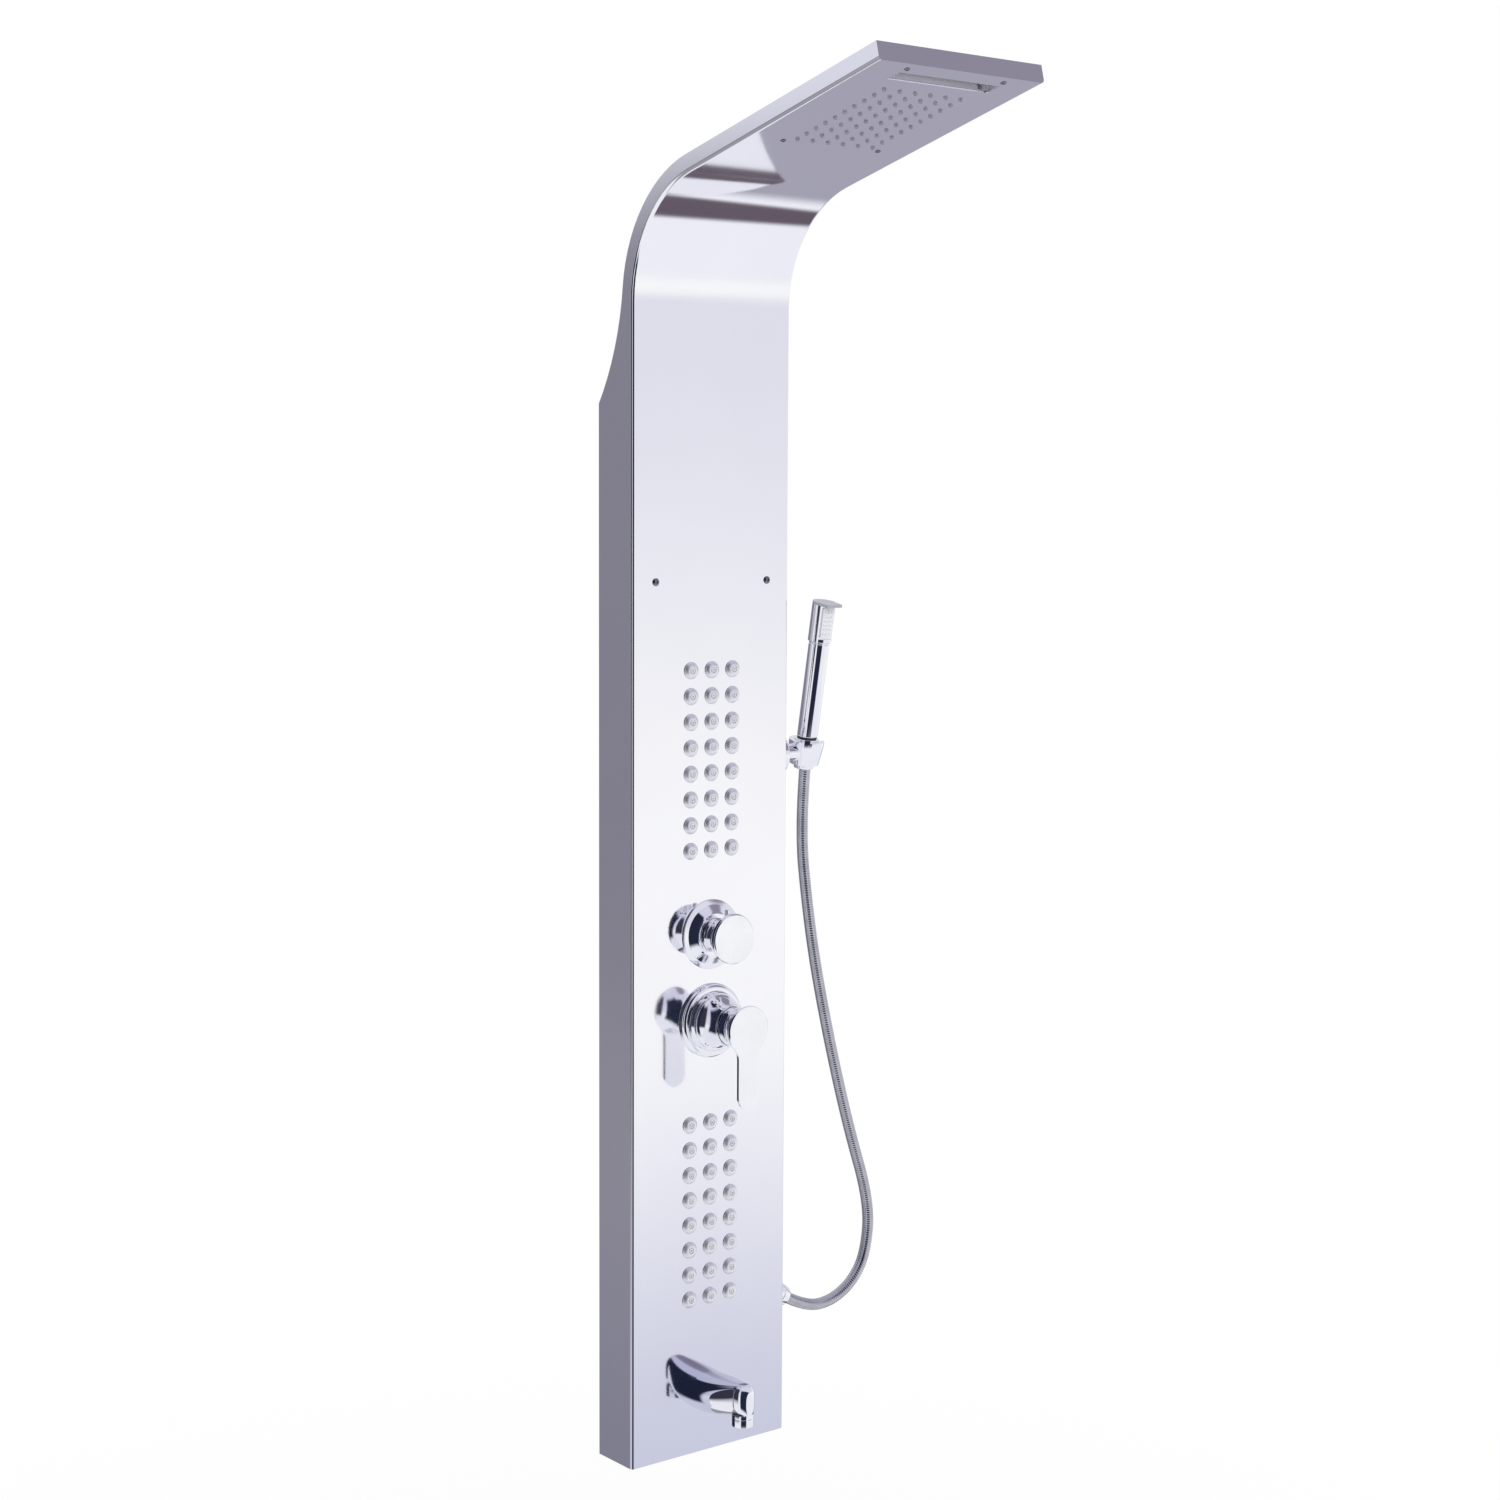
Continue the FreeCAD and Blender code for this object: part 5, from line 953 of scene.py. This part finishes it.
# ---- Inside the column ------------------------------------------------------------------
# Cast brass valve bodies, moulded water chambers, soft supply tubes and zinc-plated
# brackets, which show from behind and below.
brass = finish_of(
    "cast_brass",
    (0.62, 0.45, 0.20),
    (0.76, 0.58, 0.30),
    roughness=(0.25, 0.42),
    metallic=1.0,
    line_scale=(700.0, 700.0, 700.0),
    cloud_scale=60.0,
    bump=0.25,
)
moulded = finish_of(
    "moulded_plastic",
    (0.82, 0.81, 0.84),
    (0.88, 0.87, 0.90),
    roughness=(0.38, 0.5),
    metallic=0.0,
    line_scale=(500.0, 500.0, 500.0),
    cloud_scale=30.0,
    bump=0.1,
)
tubing = finish_of(
    "soft_tube",
    (0.82, 0.83, 0.85),
    (0.90, 0.90, 0.92),
    roughness=(0.22, 0.34),
    metallic=0.0,
    line_scale=(200.0, 200.0, 20.0),
    cloud_scale=25.0,
    bump=0.05,
)
black_rubber = finish_of(
    "seal_rubber",
    (0.02, 0.02, 0.022),
    (0.04, 0.04, 0.042),
    roughness=(0.5, 0.65),
    metallic=0.0,
    line_scale=(900.0, 900.0, 900.0),
    cloud_scale=80.0,
    bump=0.1,
)
zinc = finish_of(
    "zinc_plate",
    (0.55, 0.56, 0.58),
    (0.66, 0.67, 0.69),
    roughness=(0.22, 0.36),
    metallic=1.0,
    line_scale=(500.0, 60.0, 500.0),
    cloud_scale=30.0,
    bump=0.08,
)
inside_finishes = {
    "diverter_body": brass,
    "diverter_locknut": brass,
    "diverter_spindle": brass,
    "mixer_body": brass,
    "transfer_pipe": brass,
    "mixer_locknut": brass,
    "spout_nut": brass,
    "spout_elbow": brass,
    "hose_outlet": brass,
    "outlet_backnut": brass,
    "rain_chamber": moulded,
    "chamber_lid": moulded,
    "upper_jet_manifold": moulded,
    "lower_jet_manifold": moulded,
    "tube_clips": moulded,
    "diverter_cartridge": moulded,
    "mixer_cartridge": moulded,
    "lever_carrier": moulded,
    "rain_tube": tubing,
    "waterfall_tube": tubing,
    "upper_jet_tube": tubing,
    "lower_jet_tube": tubing,
    "spout_tube": tubing,
    "handset_tube": tubing,
    "upper_jet_seal": black_rubber,
    "lower_jet_seal": black_rubber,
    "spout_washer": black_rubber,
    "handset_washer": black_rubber,
    "wall_bracket_upper": zinc,
    "wall_bracket_lower": zinc,
    "lever_pin": zinc,
    "holder_screw": zinc,
    "holder_backnut": zinc,
}
for node, finish in inside_finishes.items():
    smooth_cad(node, finish)

# ---- The shower hose --------------------------------------------------------------------
# A rubber hose in a wound chrome strip. It leaves its nut low on the right side, hangs in
# one loop, and runs up through the holder into the handset's handle.
hose_radius = 0.00625
hose_route = (
    (0.12392, -0.030, 0.13350),
    (0.15354, -0.030, 0.11640),
    (0.18850, -0.030, 0.11530),
    (0.22000, -0.030, 0.13120),
    (0.23970, -0.030, 0.16040),
    (0.24500, -0.030, 0.21700),
    (0.21050, -0.030, 0.31500),
    (0.17850, -0.030, 0.43000),
    (0.15660, -0.028, 0.53500),
    (0.14750, -0.0187, 0.66604),
    (0.14750, -0.04257, 0.79484),
)
route_data = bpy.data.curves.new("hose_route", "CURVE")
route_data.dimensions = "3D"
route_data.resolution_u = 60
spline = route_data.splines.new("NURBS")
spline.points.add(len(hose_route) - 1)
for spot, place in zip(spline.points, hose_route):
    spot.co = (*place, 1.0)
spline.order_u = 3
spline.use_endpoint_u = True
route = bpy.data.objects.new("hose_route", route_data)
bpy.context.scene.collection.objects.link(route)
bpy.context.view_layer.update()
line_mesh = bpy.data.meshes.new_from_object(route)
hose_line = [v.co.copy() for v in line_mesh.vertices]
bpy.data.objects.remove(route)


def evenly_spaced(line, spacing):
    """The same line with its points a fixed distance apart, and its length."""
    made = [line[0].copy()]
    total = sum((b - a).length for a, b in zip(line, line[1:]))
    count = max(2, round(total / spacing))
    step, passed = total / count, 0.0
    for a, b in zip(line, line[1:]):
        run = (b - a).length
        while len(made) < count and passed + run >= step * len(made) - 1e-12:
            made.append(a.lerp(b, (step * len(made) - passed) / run))
        passed += run
    made.append(line[-1].copy())
    return made, total


def wound_hose(name, line, radius, pitch, groove, finish):
    """A tube along the line whose skin is one strip wound round it at that pitch."""
    rings_in_a_turn, sides = 4, 20
    spacing = pitch / rings_in_a_turn
    path, length = evenly_spaced(line, spacing)
    bm = bmesh.new()
    across = Vector((0.0, 1.0, 0.0))
    rings = []
    for i, here in enumerate(path):
        ahead = path[min(i + 1, len(path) - 1)] - path[max(i - 1, 0)]
        ahead.normalize()
        across = (across - ahead * across.dot(ahead)).normalized()
        side = ahead.cross(across)
        ring = []
        for k in range(sides):
            turn = 2 * math.pi * k / sides
            phase = (i * spacing / pitch + k / sides) % 1.0
            depth = groove * (0.5 - 0.5 * math.cos(2 * math.pi * phase)) ** 3
            out = across * math.cos(turn) + side * math.sin(turn)
            ring.append(bm.verts.new(here + out * (radius - depth)))
        rings.append(ring)
    for a, b in zip(rings, rings[1:]):
        for k in range(sides):
            bm.faces.new((a[k], a[(k + 1) % sides], b[(k + 1) % sides], b[k]))
    bm.faces.new(list(reversed(rings[0])))
    bm.faces.new(rings[-1])
    return finished(name, bm, finish, sharp=180.0), path, length


lower_nut_outline = [
    (10.05, 0.0),
    (12.0, 0.0, 0.3),
    (12.0, 6.0, 0.4),
    (11.6, 6.5, 0.2),
    (11.6, 7.1, 0.2),
    (11.9, 7.6, 0.3),
    (9.9, 17.2, 0.8),
    (9.2, 18.0, 0.3),
    (6.45, 18.0, 0.2),
    (6.45, 8.5),
    (10.05, 8.5),
]
outlet_drop = math.radians(30.0)
outlet_axis = (math.cos(outlet_drop), 0.0, -math.sin(outlet_drop))
lower_nut_place = (0.10833, -0.030, 0.1425)
lower_nut = turned_piece(
    "hose_lower_nut", lower_nut_outline, lower_nut_place, outlet_axis, chrome
)
hose_finish = finish_of(
    "wound_strip",
    (0.42, 0.42, 0.46),
    (0.58, 0.58, 0.62),
    roughness=(0.10, 0.2),
    metallic=1.0,
    line_scale=(300.0, 300.0, 300.0),
    cloud_scale=60.0,
    bump=0.02,
)
hose, hose_path, hose_length = wound_hose(
    "hose_strip", hose_line, hose_radius, pitch=0.0026, groove=0.0006, finish=hose_finish
)
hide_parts("shower_hose")
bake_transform(hose)

low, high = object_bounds()
